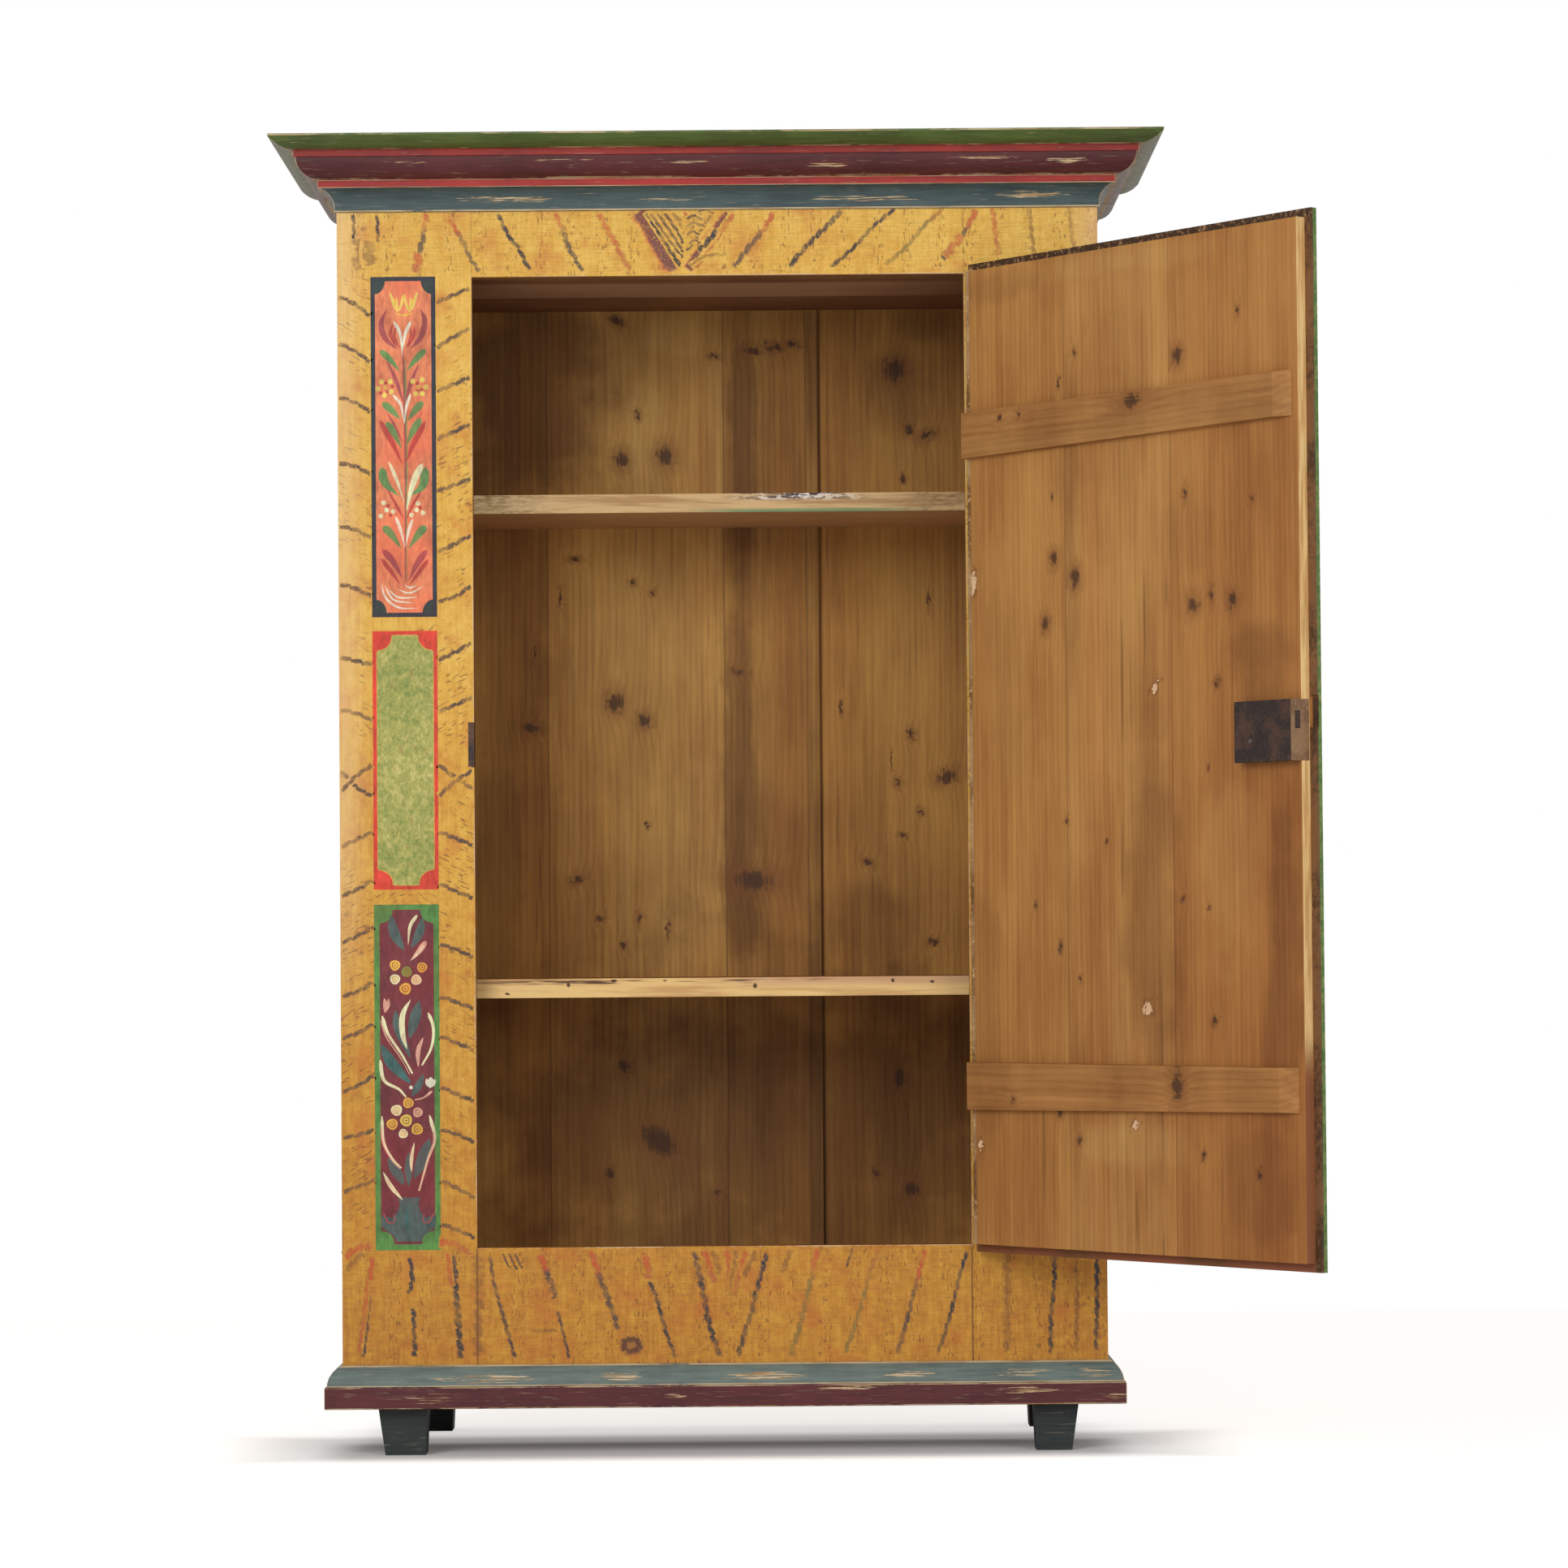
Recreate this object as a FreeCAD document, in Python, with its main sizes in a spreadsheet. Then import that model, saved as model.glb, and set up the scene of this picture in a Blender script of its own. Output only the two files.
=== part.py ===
import FreeCAD, Part
import math
import os
from types import SimpleNamespace

import Sketcher
from FreeCAD import Placement, Rotation, Vector

# Painted single-door cabinet, in millimetres. +Z is up, the front faces -Y, and the
# origin lies on the floor under the middle of the carcass.

SIZES = {
    # Whole cabinet
    "overall_height": 1800.0,
    "body_width": 1045.0,
    "body_depth": 450.0,
    "carcass_top_drop": 10.0,
    # Front frame
    "frame_thickness": 28.0,
    "stile_width": 184.5,
    "bottom_rail_height": 217.0,
    "top_rail_height": 177.0,
    "tenon_length": 55.0,
    "tenon_thickness": 9.0,
    "tenon_shoulder": 18.0,
    "mortise_spare": 1.0,
    "peg_width": 8.0,
    "peg_inset": 22.0,
    "peg_spacing": 85.0,
    "peg_first_rise": 42.0,
    # Sides, back, floor and ceiling
    "side_thickness": 22.0,
    "side_front_board_width": 210.0,
    "housing_depth": 6.0,
    "back_thickness": 16.0,
    "back_rebate_width": 11.0,
    "back_lap": 9.0,
    "back_board_1_width": 257.5,
    "back_board_2_width": 256.0,
    "back_board_3_width": 137.0,
    "back_gap": 5.0,
    "deck_thickness": 22.0,
    "floor_drop": 24.0,
    "ceiling_rise": 2.0,
    # Shelves and the cleats that carry them
    "shelf_thickness": 26.0,
    "upper_shelf_drop": 290.0,
    "upper_shelf_recess": 151.0,
    "lower_shelf_rise": 390.5,
    "lower_shelf_recess": 50.0,
    "cleat_thickness": 20.0,
    "cleat_height": 32.0,
    "cleat_setback": 18.0,
    # Cornice: a bed moulding with a crown moulding on top
    "crown_height": 55.0,
    "crown_reach": 87.0,
    "crown_lip": 3.0,
    "crown_fillet_reach": 55.0,
    "crown_fillet_rise": 9.0,
    "crown_ovolo_radius": 28.0,
    "crown_belly_radius": 42.0,
    "bed_height": 42.0,
    "bed_reach": 24.0,
    "bed_fillet_height": 11.0,
    "bed_foot_reach": 3.0,
    "bed_foot_height": 7.0,
    "bed_cove_inset": 4.0,
    "bed_cove_radius": 26.0,
    # Base: a plinth fillet with an ovolo on top
    "plinth_height": 30.0,
    "plinth_reach": 23.5,
    "plinth_edge_radius": 2.0,
    "ovolo_height": 28.5,
    "ovolo_reach": 20.5,
    "ovolo_top_reach": 2.0,
    "ovolo_radius": 32.0,
    # Feet
    "foot_height": 65.0,
    "foot_left_width": 67.0,
    "foot_right_width": 61.0,
    "foot_depth": 65.0,
    "foot_taper": 9.0,
    "foot_inner_taper": 3.0,
    "foot_front_left_inset": 48.0,
    "foot_front_right_inset": 40.5,
    "foot_rear_left_inset": 62.0,
    "foot_rear_right_inset": 32.5,
    "foot_setback": 6.0,
    "foot_shank_height": 80.0,
    "foot_shank_inset": 5.0,
    # Door of three boards with a rebate all round
    "door_open_angle": 126.7,
    "lip_thickness": 10.0,
    "lip_lap": 9.0,
    "lip_gap": 0.4,
    "door_inner_thickness": 14.0,
    "door_clearance": 2.5,
    "door_left_board_width": 261.0,
    "door_joint_offset": 2.5,
    # Sliding dovetail battens
    "batten_embed": 8.0,
    "batten_proud": 10.0,
    "batten_dovetail": 3.0,
    "batten_edge_slope": 1.0,
    "batten_stop": 22.0,
    "batten_bevel": 28.0,
    "batten_end_proud": 2.0,
    "upper_batten_drop": 196.0,
    "upper_batten_width": 64.0,
    "upper_batten_taper": 5.0,
    "lower_batten_rise": 250.0,
    "lower_batten_width": 66.0,
    "lower_batten_taper": 8.0,
    # Knuckle hinges
    "hinge_offset": 12.0,
    "upper_hinge_drop": 278.0,
    "lower_hinge_rise": 168.0,
    "knuckle_length": 27.0,
    "knuckle_radius": 5.5,
    "knuckle_gap": 0.3,
    "pin_radius": 3.0,
    "pin_clearance": 0.05,
    "pin_rise": 22.0,
    "leaf_thickness": 2.0,
    "leaf_depth": 22.0,
    "finial_height": 6.0,
    "finial_neck_radius": 3.1,
    "finial_neck_rise": 1.8,
    "finial_ball_radius": 3.9,
    "finial_ball_rise": 3.9,
    "hinge_notch_spare": 2.0,
    # Box lock
    "lock_width": 107.5,
    "lock_height": 78.0,
    "lock_rise": 638.0,
    "lock_depth": 17.0,
    "lock_wall": 1.5,
    "forend_thickness": 1.5,
    "forend_front": 1.0,
    "bolt_height": 22.0,
    "bolt_thickness": 8.6,
    "bolt_rise": 41.0,
    "bolt_standoff": 2.3,
    "bolt_clearance": 0.3,
    "bolt_throw": 12.0,
    "bolt_spare": 3.0,
    "talon_depth": 5.0,
    "talon_half_width": 15.0,
    "spring_thickness": 1.0,
    "spring_width": 6.0,
    "spring_length": 60.0,
    "spring_foot": 20.0,
    "spring_lift": 0.4,
    # Pipe key on a drill pin
    "key_backset": 79.5,
    "key_rise": 26.0,
    "drill_pin_radius": 1.5,
    "key_radius": 3.0,
    "key_bore_clearance": 0.05,
    "key_end_gap": 0.6,
    "key_bore_depth": 20.0,
    "bit_reach": 19.0,
    "bit_length": 7.0,
    "bit_thickness": 3.0,
    "bit_setback": 4.4,
    "ward_depth": 6.0,
    "ward_width": 2.0,
    "collar_radius": 4.6,
    "collar_length": 3.0,
    "collar_gap": 2.0,
    "key_stem": 10.0,
    "bow_radius": 12.0,
    "bow_hole_radius": 7.5,
    "bow_thickness": 4.0,
    "keyhole_radius": 3.8,
    "keyhole_slot_width": 4.6,
    "keyhole_slot_spare": 1.5,
    # Strike plate on the left stile, and the notch in the door's lip in front of it
    "strike_thickness": 1.5,
    "strike_leg": 8.0,
    "strike_depth": 27.0,
    "strike_drop": 22.0,
    "strike_height": 62.0,
    "lip_notch_rise": 1.0,
    "lip_notch_height": 41.0,
    "lip_notch_depth": 5.0,
}


class Dim:
    """A length together with the sheet formula that gives it."""

    def __init__(self, value, text=None):
        self.value = float(value)
        self.text = text if text else f"({self.value})"

    @staticmethod
    def of(number):
        return number if isinstance(number, Dim) else Dim(number)

    @staticmethod
    def join(left, sign, right, value):
        return Dim(value, f"({left.text} {sign} {right.text})")

    def __add__(self, other):
        other = Dim.of(other)
        return Dim.join(self, "+", other, self.value + other.value)

    def __sub__(self, other):
        other = Dim.of(other)
        return Dim.join(self, "-", other, self.value - other.value)

    def __mul__(self, other):
        other = Dim.of(other)
        return Dim.join(self, "*", other, self.value * other.value)

    def __truediv__(self, other):
        other = Dim.of(other)
        return Dim.join(self, "/", other, self.value / other.value)

    def __neg__(self):
        return Dim(-self.value, f"(0 - {self.text})")

    def __rsub__(self, other):
        return Dim.of(other) - self

    __radd__ = __add__
    __rmul__ = __mul__


doc = FreeCAD.newDocument("Cabinet")
sheet = doc.addObject("Spreadsheet::Sheet", "Sizes")
for row, (alias, value) in enumerate(SIZES.items(), start=1):
    sheet.set(f"A{row}", alias)
    sheet.set(f"B{row}", str(value))
    sheet.setAlias(f"B{row}", alias)
doc.recompute()
size = SimpleNamespace(**{alias: Dim(value, f"Sizes.{alias}") for alias, value in SIZES.items()})

# Places that several pieces share
half = size.body_width / 2
front = -(size.body_depth / 2)
back = size.body_depth / 2
back_inside = back - size.back_thickness
frame_back = front + size.frame_thickness
carcass_bottom = size.foot_height
carcass_top = size.overall_height - size.carcass_top_drop
open_half = half - size.stile_width
opening_bottom = carcass_bottom + size.bottom_rail_height
opening_top = carcass_top - size.top_rail_height
inside_half = half - size.side_thickness
floor_top = opening_bottom - size.floor_drop
floor_bottom = floor_top - size.deck_thickness
ceiling_bottom = opening_top + size.ceiling_rise
ceiling_top = ceiling_bottom + size.deck_thickness
crown_bottom = size.overall_height - size.crown_height
bed_bottom = crown_bottom - size.bed_height
ovolo_bottom = size.foot_height + size.plinth_height
hinge_x = open_half + size.hinge_offset
lip_back = front - size.lip_gap
hinge_y = lip_back - size.lip_thickness
door_inside = lip_back + size.door_inner_thickness
door_half = open_half - size.door_clearance
lip_half = open_half + size.lip_lap
door_bottom = opening_bottom + size.door_clearance
door_top = opening_top - size.door_clearance
lip_bottom = opening_bottom - size.lip_lap
lip_top = opening_top + size.lip_lap
lock_bottom = opening_bottom + size.lock_rise
bolt_front = door_inside + size.bolt_standoff
bolt_back = bolt_front + size.bolt_thickness
bolt_bottom = lock_bottom + size.bolt_rise
bolt_top = bolt_bottom + size.bolt_height
key_x = size.key_backset - door_half
key_height = lock_bottom + size.key_rise
nodes = []


def keep(piece):
    """Mark an object as one of the cabinet's pieces, which is written to its own file."""
    nodes.append(piece)
    return piece


def rectangle(left, low, right, high):
    """Four corners of an upright rectangle, counter-clockwise."""
    return [(left, low), (right, low), (right, high), (left, high)]


def arc_middle(start, end, radius):
    """Point half way along an arc that bulges to the right of its travel, or to the left if radius < 0."""
    chord = end - start
    left = Vector(-chord.y, chord.x, 0).normalize()
    reach = math.sqrt(max(radius * radius - chord.Length**2 / 4, 0.0))
    side = math.copysign(1.0, radius)
    return (start + end) * 0.5 + left * side * (reach - abs(radius))


def draw(sketch, outline):
    """Draw one closed outline whose corners follow the sheet.

    A corner is (x, y), or (x, y, radius, turn) when the side that leaves it is an arc:
    turn is 1 where the arc swells out of the outline and -1 where it hollows it.
    """
    corners = [Vector(Dim.of(c[0]).value, Dim.of(c[1]).value, 0) for c in outline]
    count = len(corners)
    area = sum(corners[i].x * corners[(i + 1) % count].y - corners[(i + 1) % count].x * corners[i].y
               for i in range(count))
    winding = math.copysign(1.0, area)
    ends = []
    for i, corner in enumerate(outline):
        here = corners[i]
        there = corners[(i + 1) % count]
        if len(corner) == 2:
            line = sketch.addGeometry(Part.LineSegment(here, there), False)
            ends.append((line, 1, 2))
            continue
        radius = Dim.of(corner[2])
        signed = radius.value * corner[3] * winding
        middle = arc_middle(here, there, signed)
        if signed > 0:
            arc = sketch.addGeometry(Part.Arc(here, middle, there), False)
            ends.append((arc, 1, 2))
        else:
            arc = sketch.addGeometry(Part.Arc(there, middle, here), False)
            ends.append((arc, 2, 1))
        rule = sketch.addConstraint(Sketcher.Constraint("Radius", arc, radius.value))
        sketch.setExpression(f"Constraints[{rule}]", radius.text)
    for i, corner in enumerate(outline):
        line, start, _ = ends[i]
        before, _, stop = ends[i - 1]
        sketch.addConstraint(Sketcher.Constraint("Coincident", before, stop, line, start))
        for kind, place in (("DistanceX", corner[0]), ("DistanceY", corner[1])):
            place = Dim.of(place)
            rule = sketch.addConstraint(Sketcher.Constraint(kind, line, start, place.value))
            sketch.setExpression(f"Constraints[{rule}]", place.text)


def draw_circle(sketch, x, y, radius):
    """Draw a circle whose centre and radius follow the sheet."""
    x, y, radius = Dim.of(x), Dim.of(y), Dim.of(radius)
    centre = Vector(x.value, y.value, 0)
    circle = sketch.addGeometry(Part.Circle(centre, Vector(0, 0, 1), radius.value), False)
    for kind, place in (("DistanceX", x), ("DistanceY", y)):
        rule = sketch.addConstraint(Sketcher.Constraint(kind, circle, 3, place.value))
        sketch.setExpression(f"Constraints[{rule}]", place.text)
    rule = sketch.addConstraint(Sketcher.Constraint("Radius", circle, radius.value))
    sketch.setExpression(f"Constraints[{rule}]", radius.text)


class Piece:
    """One piece drawn as a PartDesign body on its own origin planes."""

    # For each plane, its role in the origin and whether its normal points along + or - the world axis.
    PLANES = {"XY": ("XY_Plane", 1), "XZ": ("XZ_Plane", -1), "YZ": ("YZ_Plane", 1)}

    def __init__(self, label):
        self.body = doc.addObject("PartDesign::Body", label)
        self.body.Label = label

    def sketch(self, plane, at, outlines=(), circles=(), centre=(0, 0)):
        """Sketch on a plane moved to at, with its own zero point moved to centre."""
        role, facing = self.PLANES[plane]
        sketch = self.body.newObject("Sketcher::SketchObject", f"{self.body.Name}_outline")
        support = next(f for f in self.body.Origin.OriginFeatures if f.Role == role)
        sketch.AttachmentSupport = [(support, "")]
        sketch.MapMode = "FlatFace"
        places = (Dim.of(centre[0]), Dim.of(centre[1]), Dim.of(at) * facing)
        for axis, place in zip("xyz", places):
            sketch.setExpression(f"AttachmentOffset.Base.{axis}", place.text)
        for outline in outlines:
            draw(sketch, outline)
        for circle in circles:
            draw_circle(sketch, *circle)
        return sketch

    def extrude(self, kind, plane, start, end, **shapes):
        """Pad or pocket the shapes from start to end along the plane's world axis."""
        start, end = Dim.of(start), Dim.of(end)
        rises = end.value > start.value
        length = end - start if rises else start - end
        along_normal = rises == (self.PLANES[plane][1] > 0)
        sketch = self.sketch(plane, start, **shapes)
        feature = self.body.newObject(f"PartDesign::{kind}", f"{self.body.Name}_{kind.lower()}")
        feature.Profile = sketch
        feature.setExpression("Length", length.text)
        feature.Reversed = not along_normal if kind == "Pad" else along_normal
        return self

    def pad(self, plane, start, end, **shapes):
        return self.extrude("Pad", plane, start, end, **shapes)

    def pocket(self, plane, start, end, **shapes):
        return self.extrude("Pocket", plane, start, end, **shapes)

    def loft(self, plane, start, first, end, last):
        """Straight-sided loft between two outlines."""
        sketch = self.sketch(plane, start, outlines=[first])
        section = self.sketch(plane, end, outlines=[last])
        feature = self.body.newObject("PartDesign::AdditiveLoft", f"{self.body.Name}_loft")
        feature.Profile = sketch
        feature.Sections = [section]
        feature.Ruled = True
        return self

    def turn(self, centre, at, profile):
        """Revolve a profile of (radius, height) about an upright axis."""
        sketch = self.sketch("XZ", at, outlines=[profile], centre=(centre, 0))
        feature = self.body.newObject("PartDesign::Revolution", f"{self.body.Name}_turning")
        feature.Profile = sketch
        feature.ReferenceAxis = (sketch, ["V_Axis"])
        feature.Angle = 360.0
        return self

    def swing(self):
        """Turn the finished piece with the open door about the hinge axis."""
        angle = size.door_open_angle.text
        x, y = hinge_x.text, hinge_y.text
        self.body.setExpression("Placement.Rotation.Angle", angle)
        self.body.setExpression("Placement.Base.x", f"{x} - {x} * cos({angle}) + {y} * sin({angle})")
        self.body.setExpression("Placement.Base.y", f"{y} - {x} * sin({angle}) - {y} * cos({angle})")
        return self


def box(label, left, front_side, bottom, right, rear_side, top):
    """Square-edged board between two opposite corners."""
    board = doc.addObject("Part::Box", label)
    board.Label = label
    low = [Dim.of(left), Dim.of(front_side), Dim.of(bottom)]
    high = [Dim.of(right), Dim.of(rear_side), Dim.of(top)]
    for axis, side, near, far in zip("xyz", ("Length", "Width", "Height"), low, high):
        board.setExpression(side, (far - near).text)
        board.setExpression(f"Placement.Base.{axis}", near.text)
    return board


def cut(label, blank, tools):
    """Blank with the space of the tools taken out."""
    cutter = tools[0]
    if len(tools) > 1:
        cutter = doc.addObject("Part::MultiFuse", f"{label}_cutters")
        cutter.Shapes = tools
    result = doc.addObject("Part::Cut", label)
    result.Label = label
    result.Base = blank
    result.Tool = cutter
    return result


def mirrored(side, left, right):
    """The two ends of a span on the +X side (side = 1) or on the -X side, in rising order."""
    return (left * side, right * side) if side > 0 else (right * side, left * side)


def peg_heights():
    """Heights of the two pegs at the bottom rail's joints and at the top rail's joints."""
    low = opening_bottom - size.peg_first_rise
    high = opening_top + size.peg_first_rise
    return [low - size.peg_spacing, low, high, high + size.peg_spacing]


def rail_spans():
    """Lower and upper end of the bottom and the top rail."""
    return {"bottom": (carcass_bottom, opening_bottom), "top": (opening_top, carcass_top)}


tenon_front = front + (size.frame_thickness - size.tenon_thickness) / 2
tenon_back = tenon_front + size.tenon_thickness
peg_x = open_half + size.peg_inset


def peg_outline(side, height):
    """Square section of one peg, which is also its hole."""
    half_peg = size.peg_width / 2
    near, far = mirrored(side, peg_x - half_peg, peg_x + half_peg)
    return rectangle(near, height - half_peg, far, height + half_peg)


def front_rail(name):
    """Rail between the stiles, with a tenon at each end and the peg holes through it."""
    low, high = rail_spans()[name]
    rail = Piece(f"front_{name}_rail")
    rail.pad("XZ", front, frame_back, outlines=[rectangle(-open_half, low, open_half, high)])
    reach = open_half + size.tenon_length
    shoulder = size.tenon_shoulder
    tenons = rectangle(-reach, low + shoulder, reach, high - shoulder)
    rail.pad("XZ", tenon_front, tenon_back, outlines=[tenons])
    heights = [height for height in peg_heights() if low.value < height.value < high.value]
    holes = [peg_outline(side, height) for height in heights for side in (-1, 1)]
    rail.pocket("XZ", front, frame_back, outlines=holes)
    keep(rail.body)


def front_stile(side, cutters):
    """Upright of the front frame, with mortises for the tenons and holes for the pegs."""
    name = "front_left_stile" if side < 0 else "front_right_stile"
    stile = Piece(f"{name}_blank")
    near, far = mirrored(side, open_half, half)
    stile.pad("XZ", front, frame_back, outlines=[rectangle(near, carcass_bottom, far, carcass_top)])
    mortise_end = open_half + size.tenon_length + size.mortise_spare
    shoulder = size.tenon_shoulder
    mortises = [rectangle(tenon_front, low + shoulder, tenon_back, high - shoulder)
                for low, high in rail_spans().values()]
    stile.pocket("YZ", open_half * side, mortise_end * side, outlines=mortises)
    holes = [peg_outline(side, height) for height in peg_heights()]
    stile.pocket("XZ", front, frame_back, outlines=holes)
    if side < 0:
        room = size.bolt_clearance * 2
        slot_end = door_half + size.bolt_throw + size.bolt_spare
        slot = rectangle(bolt_front - room, bolt_bottom - room, bolt_back + room, bolt_top + room)
        stile.pocket("YZ", -open_half, -slot_end, outlines=[slot])
    keep(cut(name, stile.body, cutters))


def frame_pegs():
    """Square pegs that pin the tenons, flush with both faces of the frame."""
    half_peg = size.peg_width / 2
    pegs = []
    for side in (-1, 1):
        near, far = mirrored(side, peg_x - half_peg, peg_x + half_peg)
        for height in peg_heights():
            pegs.append(box("peg", near, front, height - half_peg, far, frame_back, height + half_peg))
    group = doc.addObject("Part::MultiFuse", "frame_pegs")
    group.Label = "frame_pegs"
    group.Shapes = pegs
    keep(group)


def side_boards(side):
    """Two boards of one side, housed for the floor and the ceiling and rebated for the back."""
    name = "left" if side < 0 else "right"
    joint = frame_back + size.side_front_board_width
    inner, outer = inside_half * side, half * side
    rebate = (half - size.side_thickness + size.back_rebate_width) * side
    plans = {
        "front": rectangle(inner, frame_back, outer, joint),
        "rear": [(inner, joint), (outer, joint), (outer, back), (rebate, back), (rebate, back_inside),
                 (inner, back_inside)],
    }
    decks = [(floor_bottom, floor_top), (ceiling_bottom, ceiling_top)]
    spans = {"front": (frame_back, joint), "rear": (joint, back_inside)}
    for part, plan in plans.items():
        board = Piece(f"{name}_side_{part}_board")
        board.pad("XY", carcass_bottom, carcass_top, outlines=[plan])
        near, far = spans[part]
        grooves = [rectangle(near, low, far, high) for low, high in decks]
        board.pocket("YZ", inner, inner + size.housing_depth * side, outlines=grooves)
        keep(board.body)


def decks():
    """Floor and ceiling boards, which stand in the housings of the sides."""
    reach = inside_half + size.housing_depth
    keep(box("floor_board", -reach, frame_back, floor_bottom, reach, back_inside, floor_top))
    keep(box("ceiling_board", -reach, frame_back, ceiling_bottom, reach, back_inside, ceiling_top))


def back_boards():
    """Four upright back boards with half-lapped edges, and a shrinkage gap before the last one."""
    reach = inside_half + size.back_rebate_width
    middle = back - size.back_thickness / 2
    lap = size.back_lap
    edges = [-reach]
    for width in (size.back_board_1_width, size.back_board_2_width, size.back_board_3_width):
        edges.append(edges[-1] + width)
    edges.append(reach)
    for number in range(4):
        left, right = edges[number], edges[number + 1]
        if number == 3:
            left = left + size.back_gap
        plan = [(left, back_inside)]
        if number < 3:
            plan += [(right, back_inside), (right, middle), (right + lap, middle), (right + lap, back)]
        else:
            plan += [(right, back_inside), (right, back)]
        if number > 0:
            shift = lap if number < 3 else lap - size.back_gap
            plan += [(left + shift, back), (left + shift, middle), (left, middle)]
        else:
            plan += [(left, back)]
        board = Piece(f"back_board_{number + 1}")
        board.pad("XY", carcass_bottom, carcass_top, outlines=[plan])
        keep(board.body)


def shelf(name, top, recess):
    """Fixed shelf on two cleats that are nailed to the sides."""
    bottom = top - size.shelf_thickness
    keep(box(f"{name}_shelf", -inside_half, front + recess, bottom, inside_half, back_inside, top))
    for side, hand in ((-1, "left"), (1, "right")):
        near, far = mirrored(side, inside_half - size.cleat_thickness, inside_half)
        keep(box(f"{name}_shelf_{hand}_cleat", near, front + recess + size.cleat_setback,
                 bottom - size.cleat_height, far, back_inside - size.cleat_setback, bottom))


def crown_profile():
    """Crown section, as (reach, rise): ovolo, square fillet, swelling top and lip."""
    ovolo_end = size.bed_reach + size.crown_ovolo_radius
    fillet_top = size.crown_ovolo_radius + size.crown_fillet_rise
    belly_end = size.crown_height - size.crown_lip
    return [
        (0, 0),
        (size.bed_reach, 0, size.crown_ovolo_radius, 1),
        (ovolo_end, size.crown_ovolo_radius),
        (size.crown_fillet_reach, size.crown_ovolo_radius),
        (size.crown_fillet_reach, fillet_top, size.crown_belly_radius, 1),
        (size.crown_reach, belly_end),
        (size.crown_reach, size.crown_height),
        (0, size.crown_height),
    ]


def bed_profile():
    """Bed moulding section: narrow foot, cove and fillet."""
    cove_end = size.bed_reach - size.bed_cove_inset
    cove_top = size.bed_height - size.bed_fillet_height
    return [
        (0, 0),
        (size.bed_foot_reach, 0),
        (size.bed_foot_reach, size.bed_foot_height, size.bed_cove_radius, -1),
        (cove_end, cove_top),
        (size.bed_reach, cove_top),
        (size.bed_reach, size.bed_height),
        (0, size.bed_height),
    ]


def ovolo_profile():
    """Base ovolo section, which swells outwards to its foot."""
    return [
        (0, 0),
        (size.ovolo_reach, 0, size.ovolo_radius, 1),
        (size.ovolo_top_reach, size.ovolo_height),
        (0, size.ovolo_height),
    ]


def plinth_profile():
    """Plinth fillet section, a flat strip with eased edges."""
    edge = size.plinth_edge_radius
    reach, high = size.plinth_reach, size.plinth_height
    return [
        (0, 0),
        (reach - edge, 0, edge, 1),
        (reach, edge),
        (reach, high - edge, edge, 1),
        (reach - edge, high),
        (0, high),
    ]


def placed(profile, place, bottom):
    """Outline of a section whose reach is turned into a world place and whose rise starts at bottom."""
    return [(place(Dim.of(corner[0])), bottom + corner[1]) + tuple(corner[2:]) for corner in profile]


def moulding(name, profile, bottom, reach, height):
    """Moulding round the front and both sides, mitred at the front corners."""
    spare = 1.0
    over = reach + spare
    low, high = bottom - spare, bottom + height + spare
    long_run = Piece(f"{name}_front")
    section = placed(profile, lambda step: front - step, bottom)
    long_run.pad("YZ", -(half + reach), half + reach, outlines=[section])
    corners = []
    for side in (-1, 1):
        corners.append([((half - spare) * side, front + spare), ((half + over) * side, front - over),
                        ((half + over) * side, front + spare)])
    long_run.pocket("XY", low, high, outlines=corners)
    keep(long_run.body)
    for side, hand in ((-1, "left"), (1, "right")):
        run = Piece(f"{name}_{hand}")
        section = placed(profile, lambda step: (half + step) * side, bottom)
        run.pad("XZ", front - reach, back, outlines=[section])
        corner = [((half - spare) * side, front + spare), ((half + over) * side, front - over),
                  ((half - spare) * side, front - over)]
        run.pocket("XY", low, high, outlines=[corner])
        keep(run.body)


def foot(label, side, end, inset, width):
    """Tapered square foot with a shank that is fixed inside the corner of the carcass."""
    outer = (half - inset) * side
    inner = (half - inset - width) * side
    sole_outer = (half - inset - size.foot_taper) * side
    sole_inner = (half - inset - width + size.foot_inner_taper) * side
    if end == "front":
        ahead = front + size.foot_setback
        behind = ahead + size.foot_depth
        shank_ahead, shank_behind = frame_back, behind - size.foot_taper
    else:
        behind = back - size.foot_setback
        ahead = behind - size.foot_depth
        shank_ahead, shank_behind = ahead + size.foot_taper, back_inside
    piece = Piece(label)
    sole = rectangle(sole_outer, ahead + size.foot_taper / 2, sole_inner, behind - size.foot_taper / 2)
    piece.loft("XY", 0, sole, size.foot_height, rectangle(outer, ahead, inner, behind))
    shank = rectangle((half - inset - size.foot_shank_inset) * side, shank_ahead,
                      (half - inset - width + size.foot_shank_inset) * side, shank_behind)
    piece.pad("XY", size.foot_height, size.foot_height + size.foot_shank_height, outlines=[shank])
    keep(piece.body)


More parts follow.
